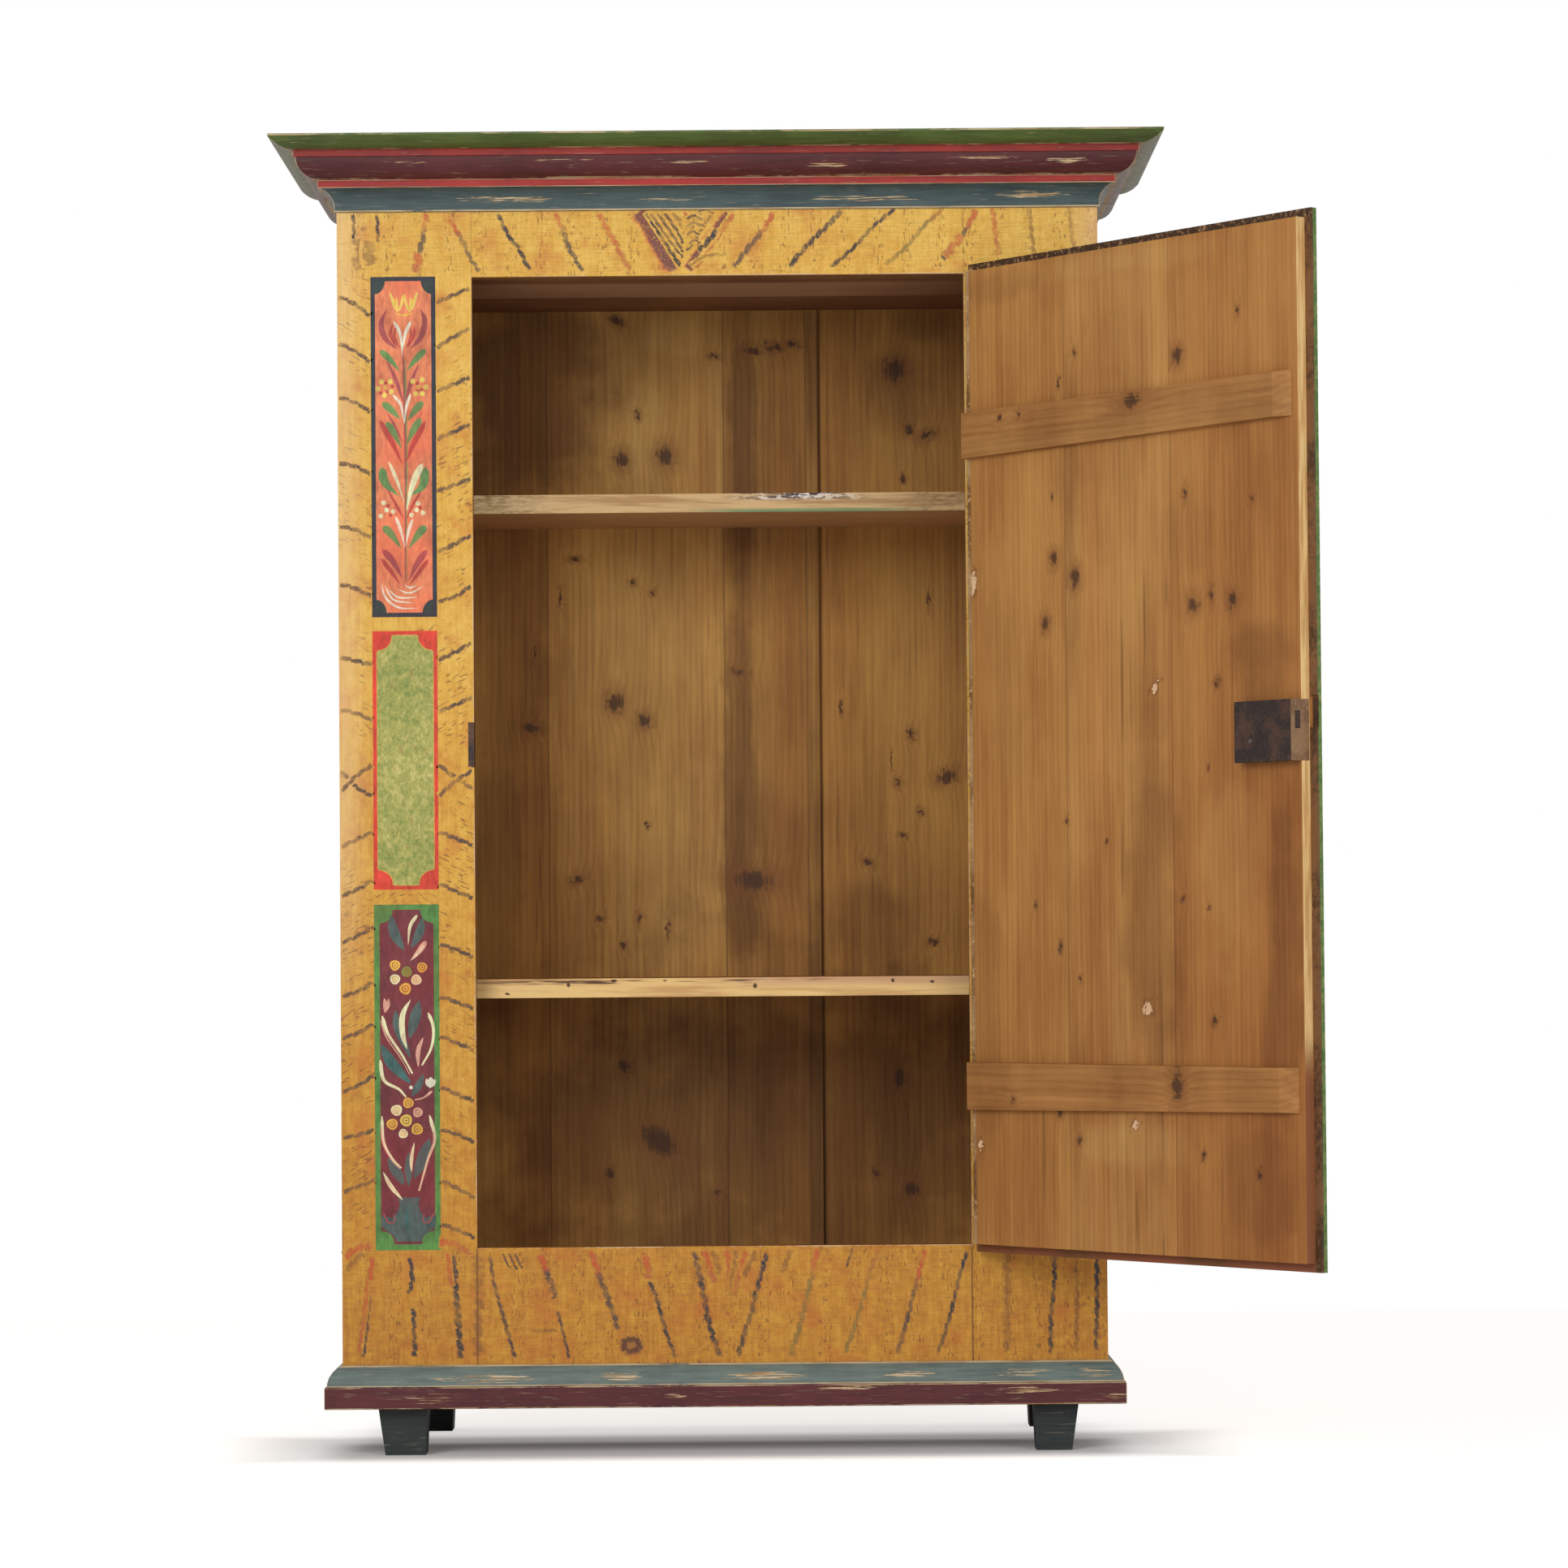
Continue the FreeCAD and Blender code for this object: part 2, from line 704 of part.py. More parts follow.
def batten(name, top, width, taper):
    """Tapered batten that slides into a dovetail housing across the door's inner side."""
    hinge_end, free_end = door_half, -(lip_half - size.batten_stop)
    deep, proud = door_inside - size.batten_embed, door_inside + size.batten_proud

    def section(bottom):
        tail, slope = size.batten_dovetail, size.batten_edge_slope
        return [(deep, bottom - tail), (door_inside, bottom), (proud, bottom + slope),
                (proud, top - slope), (door_inside, top), (deep, top + tail)]

    piece = Piece(f"door_batten_{name}")
    piece.loft("YZ", hinge_end, section(top - width), free_end, section(top - width + taper))
    bevel_end = free_end + size.batten_bevel
    low_side = door_inside + size.batten_end_proud
    spare = 1.0
    wedge = [(free_end - spare, low_side), (free_end, low_side), (bevel_end, proud),
             (bevel_end, proud + spare), (free_end - spare, proud + spare)]
    piece.pocket("XY", top - width - spare, top + spare, outlines=[wedge])
    return keep(piece.swing().body)


def door_board(name, left, right, pockets, cutters):
    """One upright board of the door: a lip outside and a thicker part that enters the opening."""
    board = Piece(f"door_board_{name}_blank")
    board.pad("XZ", hinge_y, lip_back, outlines=[rectangle(left, lip_bottom, right, lip_top)])
    inner_left = -door_half if name == "left" else left
    inner_right = door_half if name == "right" else right
    thick_part = rectangle(inner_left, door_bottom, inner_right, door_top)
    board.pad("XZ", lip_back, door_inside, outlines=[thick_part])
    for pocket in pockets:
        board.pocket(**pocket)
    keep(cut(f"door_board_{name}", board.swing().body, cutters))


def finial_profile(end, turn):
    """Turned knob on a hinge, from the knuckle's edge to its tip: upwards if turn is 1, downwards if it is -1."""
    neck, ball = size.finial_neck_radius, size.finial_ball_radius
    return [
        (size.knuckle_radius, end),
        (neck, end + size.finial_neck_rise * turn),
        (ball, end + size.finial_ball_rise * turn),
        (0, end + size.finial_height * turn),
    ]


def hinge(name, height):
    """Knuckle hinge: a leaf in the stile, a leaf in the door's edge, and the pin that stands in the first."""
    outer, inner = size.knuckle_radius, size.knuckle_radius - size.leaf_thickness
    bore = size.pin_radius + size.pin_clearance
    gap = size.knuckle_gap / 2
    low, high = height - size.knuckle_length, height + size.knuckle_length

    frame_leaf = Piece(f"{name}_hinge_frame_leaf")
    frame_leaf.turn(hinge_x, hinge_y, rectangle(bore, low, outer, height - gap))
    plate = rectangle(hinge_x + inner, hinge_y, hinge_x + outer, front + size.leaf_depth)
    frame_leaf.pad("XY", low, height - gap, outlines=[plate])
    keep(frame_leaf.body)

    door_leaf = Piece(f"{name}_hinge_door_leaf")
    knuckle = [(bore, height + gap), (outer, height + gap)] + finial_profile(high, 1)
    door_leaf.turn(hinge_x, hinge_y, knuckle + [(0, high - gap), (bore, high - gap)])
    plate = rectangle(lip_half - size.leaf_depth, hinge_y + inner, hinge_x, hinge_y + outer)
    door_leaf.pad("XY", height + gap, high, outlines=[plate])
    keep(door_leaf.swing().body)

    pin = Piece(f"{name}_hinge_pin")
    pin_top = height + size.pin_rise
    shaft = [(0, pin_top), (size.pin_radius, pin_top), (size.pin_radius, low)]
    pin.turn(hinge_x, hinge_y, shaft + finial_profile(low, -1))
    keep(pin.body)
    return frame_leaf.body, door_leaf.body


def hinge_notch(height):
    """Opening in the door's lip round the knuckles of one hinge."""
    reach = size.knuckle_length + size.finial_height + size.hinge_notch_spare
    near = hinge_x - size.knuckle_radius - size.hinge_notch_spare
    outline = rectangle(near, height - reach, lip_half + 1, height + reach)
    return {"plane": "XZ", "start": hinge_y, "end": lip_back, "outlines": [outline]}


def lock():
    """Box lock on the inner side of the door: case with its drill pin, forend, bolt and leaf spring."""
    low, high = lock_bottom, lock_bottom + size.lock_height
    edge = -door_half + size.forend_thickness
    tail = edge + size.lock_width
    cover = door_inside + size.lock_depth
    wall = size.lock_wall

    case = Piece("lock_case")
    case.pad("XZ", door_inside, cover, outlines=[rectangle(edge, low, tail, high)])
    room = rectangle(edge - 1, low + wall, tail - wall, high - wall)
    case.pocket("XZ", door_inside, cover - wall, outlines=[room])
    pin_end = cover - size.key_end_gap - wall - size.key_bore_depth + 1
    case.pad("XZ", cover - wall, pin_end, circles=[(key_x, key_height, size.drill_pin_radius)])
    keep(case.swing().body)

    forend = Piece("lock_forend")
    forend.pad("YZ", -door_half, edge, outlines=[rectangle(lip_back + size.forend_front, low, cover, high)])
    room = size.bolt_clearance
    slot = rectangle(bolt_front - room, bolt_bottom - room, bolt_back + room, bolt_top + room)
    forend.pocket("YZ", -door_half, edge, outlines=[slot])
    keep(forend.swing().body)

    bolt = Piece("lock_bolt")
    bolt_tail = tail - wall - size.bolt_clearance * 3
    bar = rectangle(-door_half + size.bolt_clearance, bolt_bottom, bolt_tail, bolt_top)
    bolt.pad("XZ", bolt_front, bolt_back, outlines=[bar])
    talon_x = key_x + size.bolt_throw / 2
    talon = rectangle(talon_x - size.talon_half_width, bolt_bottom - 1,
                      talon_x + size.talon_half_width, bolt_bottom + size.talon_depth)
    bolt.pocket("XZ", bolt_front, bolt_back, outlines=[talon])
    keep(bolt.swing().body)

    spring = Piece("lock_spring")
    roof = high - wall
    rest = bolt_top + size.spring_lift
    start = edge + size.bolt_throw
    knee, tip = start + size.spring_foot, start + size.spring_length
    strip = size.spring_thickness
    leaf = [(start, roof - strip), (knee, roof - strip), (tip, rest), (tip + strip * 6, rest + strip),
            (tip + strip * 6, rest + strip * 2), (tip, rest + strip), (knee, roof), (start, roof)]
    middle = bolt_front + size.bolt_thickness / 2
    spring.pad("XZ", middle - size.spring_width / 2, middle + size.spring_width / 2, outlines=[leaf])
    keep(spring.swing().body)
    return forend.body


def key():
    """Pipe key that stands in the lock from outside, with its bit down and its bow upright."""
    cover = door_inside + size.lock_depth - size.lock_wall
    tip = cover - size.key_end_gap
    collar = hinge_y - size.collar_gap
    stem_end = collar - size.collar_length - size.key_stem
    bow_y = stem_end - size.bow_hole_radius
    height = key_height
    piece = Piece("key")
    piece.pad("XZ", stem_end, tip, circles=[(key_x, height, size.key_radius)])
    piece.pad("XZ", collar - size.collar_length, collar, circles=[(key_x, height, size.collar_radius)])
    half_bow = size.bow_thickness / 2
    piece.pad("YZ", key_x - half_bow, key_x + half_bow,
              circles=[(bow_y, height, size.bow_radius), (bow_y, height, size.bow_hole_radius)])
    bit_back = tip - size.bit_setback
    bit_front = bit_back - size.bit_length
    half_bit = size.bit_thickness / 2
    bit_end = height - size.bit_reach
    bit = rectangle(bit_front, bit_end, bit_back, height - size.key_radius / 2)
    piece.pad("YZ", key_x - half_bit, key_x + half_bit, outlines=[bit])
    middle, half_ward = (bit_front + bit_back) / 2, size.ward_width / 2
    ward = rectangle(middle - half_ward, bit_end - 1, middle + half_ward, bit_end + size.ward_depth)
    piece.pocket("YZ", key_x - half_bit, key_x + half_bit, outlines=[ward])
    bore = size.drill_pin_radius + size.key_bore_clearance
    piece.pocket("XZ", tip, tip - size.key_bore_depth, circles=[(key_x, height, bore)])
    keep(piece.swing().body)


def keyhole_pockets():
    """Round hole and slot of the keyhole, through the whole door."""
    half_slot = size.keyhole_slot_width / 2
    low = key_height - size.bit_reach - size.keyhole_slot_spare
    slot = rectangle(key_x - half_slot, low, key_x + half_slot, key_height)
    hole = (key_x, key_height, size.keyhole_radius)
    return [
        {"plane": "XZ", "start": hinge_y, "end": door_inside, "circles": [hole]},
        {"plane": "XZ", "start": hinge_y, "end": door_inside, "outlines": [slot]},
    ]


def lip_notch():
    """Notch behind the door's lip, in front of the strike plate."""
    low = bolt_bottom + size.lip_notch_rise
    outline = rectangle(-lip_half - 1, low, -door_half, low + size.lip_notch_height)
    return {"plane": "XZ", "start": lip_back, "end": lip_back - size.lip_notch_depth, "outlines": [outline]}


def strike_plate():
    """Bent plate let into the left stile, with a slot for the bolt in the leg inside the opening."""
    low = bolt_bottom - size.strike_drop
    high = low + size.strike_height
    thick = size.strike_thickness
    plate = Piece("strike_plate")
    plan = [(-open_half, front), (-open_half, front + size.strike_depth),
            (-open_half - thick, front + size.strike_depth), (-open_half - thick, front + thick),
            (-open_half - size.strike_leg, front + thick), (-open_half - size.strike_leg, front)]
    plate.pad("XY", low, high, outlines=[plan])
    room = size.bolt_clearance * 2
    slot = rectangle(bolt_front - room, bolt_bottom - room, bolt_back + room, bolt_top + room)
    plate.pocket("YZ", -open_half, -open_half - thick, outlines=[slot])
    return keep(plate.body)


# Door furniture comes first, because the boards and stiles are cut to receive it.
upper_hinge_height = opening_top - size.upper_hinge_drop
lower_hinge_height = opening_bottom + size.lower_hinge_rise
upper_frame_leaf, upper_door_leaf = hinge("upper", upper_hinge_height)
lower_frame_leaf, lower_door_leaf = hinge("lower", lower_hinge_height)
strike = strike_plate()
forend_plate = lock()
key()
upper_batten = batten("upper", opening_top - size.upper_batten_drop, size.upper_batten_width,
                      size.upper_batten_taper)
lower_batten = batten("lower", opening_bottom + size.lower_batten_rise, size.lower_batten_width,
                      size.lower_batten_taper)
battens = [upper_batten, lower_batten]

joint_left = size.door_left_board_width - lip_half
joint_right = (joint_left + lip_half) / 2 - size.door_joint_offset
notches = [hinge_notch(upper_hinge_height), hinge_notch(lower_hinge_height)]
door_board("right", joint_right, lip_half, notches, battens + [upper_door_leaf, lower_door_leaf])
door_board("middle", joint_left, joint_right, [], battens)
door_board("left", -lip_half, joint_left, keyhole_pockets() + [lip_notch()], battens + [forend_plate])

for rail_name in rail_spans():
    front_rail(rail_name)
front_stile(-1, [strike])
front_stile(1, [upper_frame_leaf, lower_frame_leaf])
frame_pegs()
side_boards(-1)
side_boards(1)
decks()
back_boards()
shelf("upper", ceiling_bottom - size.upper_shelf_drop, size.upper_shelf_recess)
shelf("lower", floor_top + size.lower_shelf_rise, size.lower_shelf_recess)
moulding("crown_moulding", crown_profile(), crown_bottom, size.crown_reach, size.crown_height)
moulding("bed_moulding", bed_profile(), bed_bottom, size.bed_reach, size.bed_height)
moulding("base_ovolo", ovolo_profile(), ovolo_bottom, size.ovolo_reach, size.ovolo_height)
moulding("plinth_fillet", plinth_profile(), size.foot_height, size.plinth_reach, size.plinth_height)
for hand, side in (("left", -1), ("right", 1)):
    width = getattr(size, f"foot_{hand}_width")
    for end in ("front", "rear"):
        foot(f"foot_{end}_{hand}", side, end, getattr(size, f"foot_{end}_{hand}_inset"), width)

doc.recompute()

failed = [o.Name for o in doc.Objects if "Invalid" in o.State or "Error" in o.State]
if failed:
    raise RuntimeError(f"objects that did not recompute: {failed}")
for feature in doc.Objects:
    if feature.TypeId == "PartDesign::Pocket":
        if feature.Shape.Volume >= feature.BaseFeature.Shape.Volume - 1e-6:
            raise RuntimeError(f"{feature.Name} cuts nothing")
for piece in nodes:
    if piece.Shape.isNull() or not piece.Shape.isValid() or not piece.Shape.Solids:
        raise RuntimeError(f"{piece.Label} has no valid solid")

os.makedirs("parts", exist_ok=True)
for piece in nodes:
    piece.Shape.exportStep(f"parts/{piece.Label}.step")
print(f"{len(nodes)} pieces written")
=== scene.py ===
"""Looks of the painted single-door cabinet: its finishes, painted ornament, floor, lights and camera.

Lengths are in metres in the cabinet's own frame: Z is up, the front faces -Y and the floor is Z = 0.
Ornament and brush strokes are listed in millimetres, as they are measured on the boards.
"""

import logging
import math
from dataclasses import dataclass, field, replace
from enum import Enum
from functools import reduce
from typing import Any, Iterable, Optional, Sequence, Union

import bpy
from mathutils import Matrix, Vector

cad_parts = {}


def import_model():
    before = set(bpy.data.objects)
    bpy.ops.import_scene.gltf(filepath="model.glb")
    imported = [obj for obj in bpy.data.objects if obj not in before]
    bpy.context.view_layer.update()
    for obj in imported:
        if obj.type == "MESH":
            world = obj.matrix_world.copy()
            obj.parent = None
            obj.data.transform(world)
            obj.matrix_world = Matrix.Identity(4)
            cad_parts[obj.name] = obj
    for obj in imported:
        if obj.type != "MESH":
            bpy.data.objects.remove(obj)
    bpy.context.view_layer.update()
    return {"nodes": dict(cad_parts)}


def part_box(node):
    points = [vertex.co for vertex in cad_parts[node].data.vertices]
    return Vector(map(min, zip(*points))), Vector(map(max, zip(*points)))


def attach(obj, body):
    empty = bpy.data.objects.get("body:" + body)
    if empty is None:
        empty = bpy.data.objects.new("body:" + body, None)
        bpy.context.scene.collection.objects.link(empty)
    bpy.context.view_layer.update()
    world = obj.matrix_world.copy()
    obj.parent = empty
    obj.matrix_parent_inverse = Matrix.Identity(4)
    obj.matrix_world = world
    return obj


log = logging.getLogger("cabinet")

Point = tuple[float, float]
Triple = tuple[float, float, float]
Linear = tuple[float, float, float, float]
Row = tuple[Any, ...]
Socket = bpy.types.NodeSocket
Piece = bpy.types.Object
Material = bpy.types.Material

MM = 0.001
FRONT = -0.225
DOOR_FRONT = -0.2354
HINGE = Vector((0.350, -0.2354, 0.0))
OPEN = math.radians(126.7)
OPENED = Matrix.Translation(HINGE) @ Matrix.Rotation(OPEN, 4, "Z") @ Matrix.Translation(-HINGE)
OPENING_HALF = 0.338
OPENING_BOTTOM = 0.282
OPENING_TOP = 1.613
CARCASS_HALF = 0.5225
STILE_MIDDLE = 0.432
CORNICE_TOP = 1.8
MIRROR = Matrix.Scale(-1.0, 4, (1.0, 0.0, 0.0))
NOWHERE: Triple = (0.0, 0.0, 0.0)


def unscreened(level: float) -> float:
    """Undoes the screen's curve for one level from 0 to 1."""
    return level / 12.92 if level <= 0.04045 else ((level + 0.055) / 1.055) ** 2.4


def rgb(red: float, green: float, blue: float) -> Linear:
    """The colour that a shader takes for one that looks so on a screen, from 0 to 255."""
    return (unscreened(red / 255), unscreened(green / 255), unscreened(blue / 255), 1.0)


class Grain(Enum):
    """The way that a board's fibres run, as the stretch of its pattern along X, Y and Z."""

    UP = (1.0, 1.0, 0.035)
    ACROSS = (0.035, 1.0, 1.0)


class Mark(Enum):
    """How a brush mark's width runs along it, from its first point to its last."""

    LEAF = "leaf"
    DROP = "drop"
    LINE = "line"
    RIBBON = "ribbon"


class Hue(Enum):
    """Colours of the painter's pots, as they look on a screen."""

    CORAL = (244, 134, 92)
    NAVY = (44, 50, 62)
    SLATE = (80, 98, 96)
    TEAL = (62, 104, 102)
    LEAF_GREEN = (106, 148, 82)
    FRAME_GREEN = (88, 144, 70)
    OLIVE = (128, 142, 64)
    RED = (222, 66, 46)
    DARK_RED = (188, 72, 62)
    PURPLE = (172, 78, 80)
    BURGUNDY = (118, 48, 56)
    YELLOW = (246, 206, 96)
    GOLD = (232, 178, 72)
    CREAM = (250, 228, 184)
    WHITE = (248, 232, 208)
    PINK = (234, 172, 152)
    DARK_GREEN = (44, 60, 58)
    BROWN_GOLD = (158, 104, 44)


# Shader tools

class Value:
    """A number that changes over a surface: a socket whose operators each add a Math node."""

    def __init__(self, recipe: "Recipe", socket: Socket) -> None:
        """Holds the recipe that the number belongs to and the socket that gives it."""
        self.recipe = recipe
        self.socket = socket

    def maths(self, operation: str, *operands: "Number") -> "Value":
        """Adds one Math node with this operation and these inputs."""
        node = self.recipe.node("ShaderNodeMath", {"operation": operation}, dict(enumerate(operands)))
        return Value(self.recipe, node.outputs[0])

    def __add__(self, other: "Number") -> "Value":
        """self + other."""
        return self.maths("ADD", self, other)

    __radd__ = __add__

    def __sub__(self, other: "Number") -> "Value":
        """self - other."""
        return self.maths("SUBTRACT", self, other)

    def __rsub__(self, other: float) -> "Value":
        """other - self."""
        return self.maths("SUBTRACT", other, self)

    def __mul__(self, other: "Number") -> "Value":
        """self * other."""
        return self.maths("MULTIPLY", self, other)

    __rmul__ = __mul__

    def __truediv__(self, other: "Number") -> "Value":
        """self / other."""
        return self.maths("DIVIDE", self, other)

    def __rtruediv__(self, other: float) -> "Value":
        """other / self."""
        return self.maths("DIVIDE", other, self)

    def __abs__(self) -> "Value":
        """The size of self without its sign."""
        return self.maths("ABSOLUTE", self)

    def __gt__(self, other: float) -> "Value":
        """1 where self is over other, 0 elsewhere."""
        return self.maths("GREATER_THAN", self, other)

    def __lt__(self, other: float) -> "Value":
        """1 where self is under other, 0 elsewhere."""
        return self.maths("LESS_THAN", self, other)

    def least(self, other: "Number") -> "Value":
        """The lesser of self and other."""
        return self.maths("MINIMUM", self, other)

    def most(self, other: "Number") -> "Value":
        """The greater of self and other."""
        return self.maths("MAXIMUM", self, other)

    def part(self) -> "Value":
        """What is left of self after its whole number."""
        return self.maths("FRACT", self)

    def wave(self) -> "Value":
        """The sine of self."""
        return self.maths("SINE", self)

    def rise(self, low: float, high: float) -> "Value":
        """A soft step.

        Args:
            low: Up to where it is 0.
            high: From where on it is 1.

        Returns:
            The step's height.
        """
        settings = {"interpolation_type": "SMOOTHSTEP", "clamp": True}
        inputs = {"Value": self, "From Min": low, "From Max": high, "To Min": 0.0, "To Max": 1.0}
        node = self.recipe.node("ShaderNodeMapRange", settings, inputs)
        return Value(self.recipe, node.outputs["Result"])

    def fall(self, low: float, high: float) -> "Value":
        """A soft step down: 1 up to low, 0 from high on."""
        return 1.0 - self.rise(low, high)

    def near(self, middle: float, reach: float) -> "Value":
        """A soft band: 1 at middle and 0 from reach away on."""
        return abs(self - middle).fall(0.35 * reach, reach)

    def choose(self, off: "Value", on: "Value") -> "Value":
        """off where self is 0 and on where it is 1."""
        return on * self + off * (1.0 - self)


Number = Union[Value, float]
Input = Union[Value, Socket, float, Sequence[float]]


class Recipe:
    """One material, or the world, while it is being mixed, with a single method that adds its nodes."""

    def __init__(self, name: str, world: bool = False) -> None:
        """Starts an empty material, or an empty world.

        Args:
            name: Its name.
            world: Whether it is the world.
        """
        self.result = (bpy.data.worlds if world else bpy.data.materials).new(name)
        self.result.use_nodes = True
        self.tree = self.result.node_tree
        self.tree.nodes.clear()

    def node(self, kind: str, settings: Optional[dict[str, Any]] = None,
             inputs: Optional[dict[Any, Input]] = None) -> bpy.types.Node:
        """Adds a node.

        Args:
            kind: The node's type.
            settings: Its properties; the key "stops" holds a ramp's (place, colour) pairs.
            inputs: Values or links of its sockets, by name or number.

        Returns:
            The new node.
        """
        node = self.tree.nodes.new(kind)
        for key, setting in (settings or {}).items():
            if key == "stops":
                elements = node.color_ramp.elements
                while len(elements) < len(setting):
                    elements.new(0.5)
                for element, (place, colour) in zip(elements, setting):
                    element.position = place
                    element.color = colour
            else:
                setattr(node, key, setting)
        for key, given in (inputs or {}).items():
            if isinstance(given, Value):
                self.tree.links.new(given.socket, node.inputs[key])
            elif isinstance(given, Socket):
                self.tree.links.new(given, node.inputs[key])
            else:
                node.inputs[key].default_value = given
        return node

    def value(self, socket: Socket) -> Value:
        """Wraps a socket that gives a number."""
        return Value(self, socket)

    def place(self, turned: bool = False) -> Socket:
        """The point of the surface in the cabinet's frame.

        Args:
            turned: Whether to turn the open door's points back to where they are when the door is shut.

        Returns:
            The point as a vector.
        """
        point = self.node("ShaderNodeTexCoord").outputs["Object"]
        if not turned:
            return point
        back = Matrix.Rotation(-OPEN, 3, "Z")
        shift = HINGE - back @ HINGE
        return self.mapped(point, shift=tuple(shift), turn=(0.0, 0.0, -OPEN))

    def mapped(self, point: Socket, stretch: Triple = (1.0, 1.0, 1.0), shift: Triple = NOWHERE,
               turn: Triple = NOWHERE) -> Socket:
        """Stretches, turns and then moves a point.

        Args:
            point: The point.
            stretch: The factor along each axis.
            shift: How far it is moved.
            turn: The turn about each axis, in radians.

        Returns:
            The new point.
        """
        node = self.node("ShaderNodeMapping", {"vector_type": "POINT"},
                         {"Vector": point, "Location": shift, "Rotation": turn, "Scale": stretch})
        return node.outputs[0]

    def axes(self, point: Socket) -> tuple[Value, Value, Value]:
        """Splits a vector into its three numbers."""
        node = self.node("ShaderNodeSeparateXYZ", inputs={0: point})
        return self.value(node.outputs[0]), self.value(node.outputs[1]), self.value(node.outputs[2])

    def joined(self, x: Input, y: Input, z: Input) -> Socket:
        """Makes a vector of three numbers."""
        return self.node("ShaderNodeCombineXYZ", inputs={0: x, 1: y, 2: z}).outputs[0]

    def distance(self, point: Socket, middle: Triple = NOWHERE) -> Value:
        """How far a point is from a middle."""
        node = self.node("ShaderNodeVectorMath", {"operation": "DISTANCE"}, {0: point, 1: middle})
        return self.value(node.outputs["Value"])

    def noise(self, point: Socket, scale: float = 1.0, stretch: Optional[Triple] = None,
              detail: float = 2.0, roughness: float = 0.5) -> Value:
        """Soft random clouds from 0 to 1.

        Args:
            point: Where the pattern is read.
            scale: How many clouds there are in a metre.
            stretch: A factor on the scale for each axis.
            detail: How many finer layers lie on it.
            roughness: How strong these are.

        Returns:
            The level of the clouds.
        """
        if stretch is not None:
            point = self.mapped(point, stretch=stretch)
        inputs = {"Vector": point, "Scale": scale, "Detail": detail, "Roughness": roughness}
        return self.value(self.node("ShaderNodeTexNoise", {"noise_dimensions": "3D"}, inputs).outputs[0])

    def mix(self, share: Input, first: Input, second: Input, blend: str = "MIX") -> Socket:
        """Lays a share of the second colour over the first, in the way that blend names."""
        settings = {"data_type": "RGBA", "blend_type": blend, "clamp_factor": True}
        return self.node("ShaderNodeMix", settings, {0: share, 6: first, 7: second}).outputs[2]

    def ramp(self, level: Value, stops: Sequence[tuple[float, Linear]]) -> Socket:
        """A colour read from a ramp."""
        return self.node("ShaderNodeValToRGB", {"stops": stops}, {0: level}).outputs[0]

    def finish(self, colour: Input, roughness: Input, height: Value, depth: float, metallic: Input = 0.0,
               gloss: float = 0.4) -> Material:
        """Closes the material with one Principled shader.

        Args:
            colour: Base colour.
            roughness: Roughness.
            height: Relief from 0 to 1.
            depth: What a relief of 1 stands for, in metres.
            metallic: Metallic.
            gloss: Specular level.

        Returns:
            The finished material.
        """
        bump = self.node("ShaderNodeBump", inputs={"Height": height, "Distance": depth, "Strength": 0.7})
        shader = self.node("ShaderNodeBsdfPrincipled", inputs={
            "Base Color": colour, "Roughness": roughness, "Metallic": metallic, "Specular IOR Level": gloss,
            "Normal": bump.outputs[0]})
        self.node("ShaderNodeOutputMaterial", inputs={"Surface": shader.outputs[0]})
        return self.result


# Finishes

class Lie(Enum):
    """How a knot lies on its board: its height over its width, and its lean in radians."""

    ROUND = (1.2, 0.0)
    WIDE = (0.5, 0.1)
    TALL = (2.1, 0.0)
    FALLING = (0.55, 0.55)
    RISING = (0.6, -0.4)
    STREAK = (7.0, 0.0)


Knots = dict[Lie, tuple[Triple, ...]]


@dataclass(frozen=True)
class StainAndShade:
    """A soft patch on a board, for real staining and for painted shade and light alike: its middle and half
    its size, in millimetres, and its depth.
    """

    across: float
    up: float
    half_width: float
    half_height: float
    depth: float


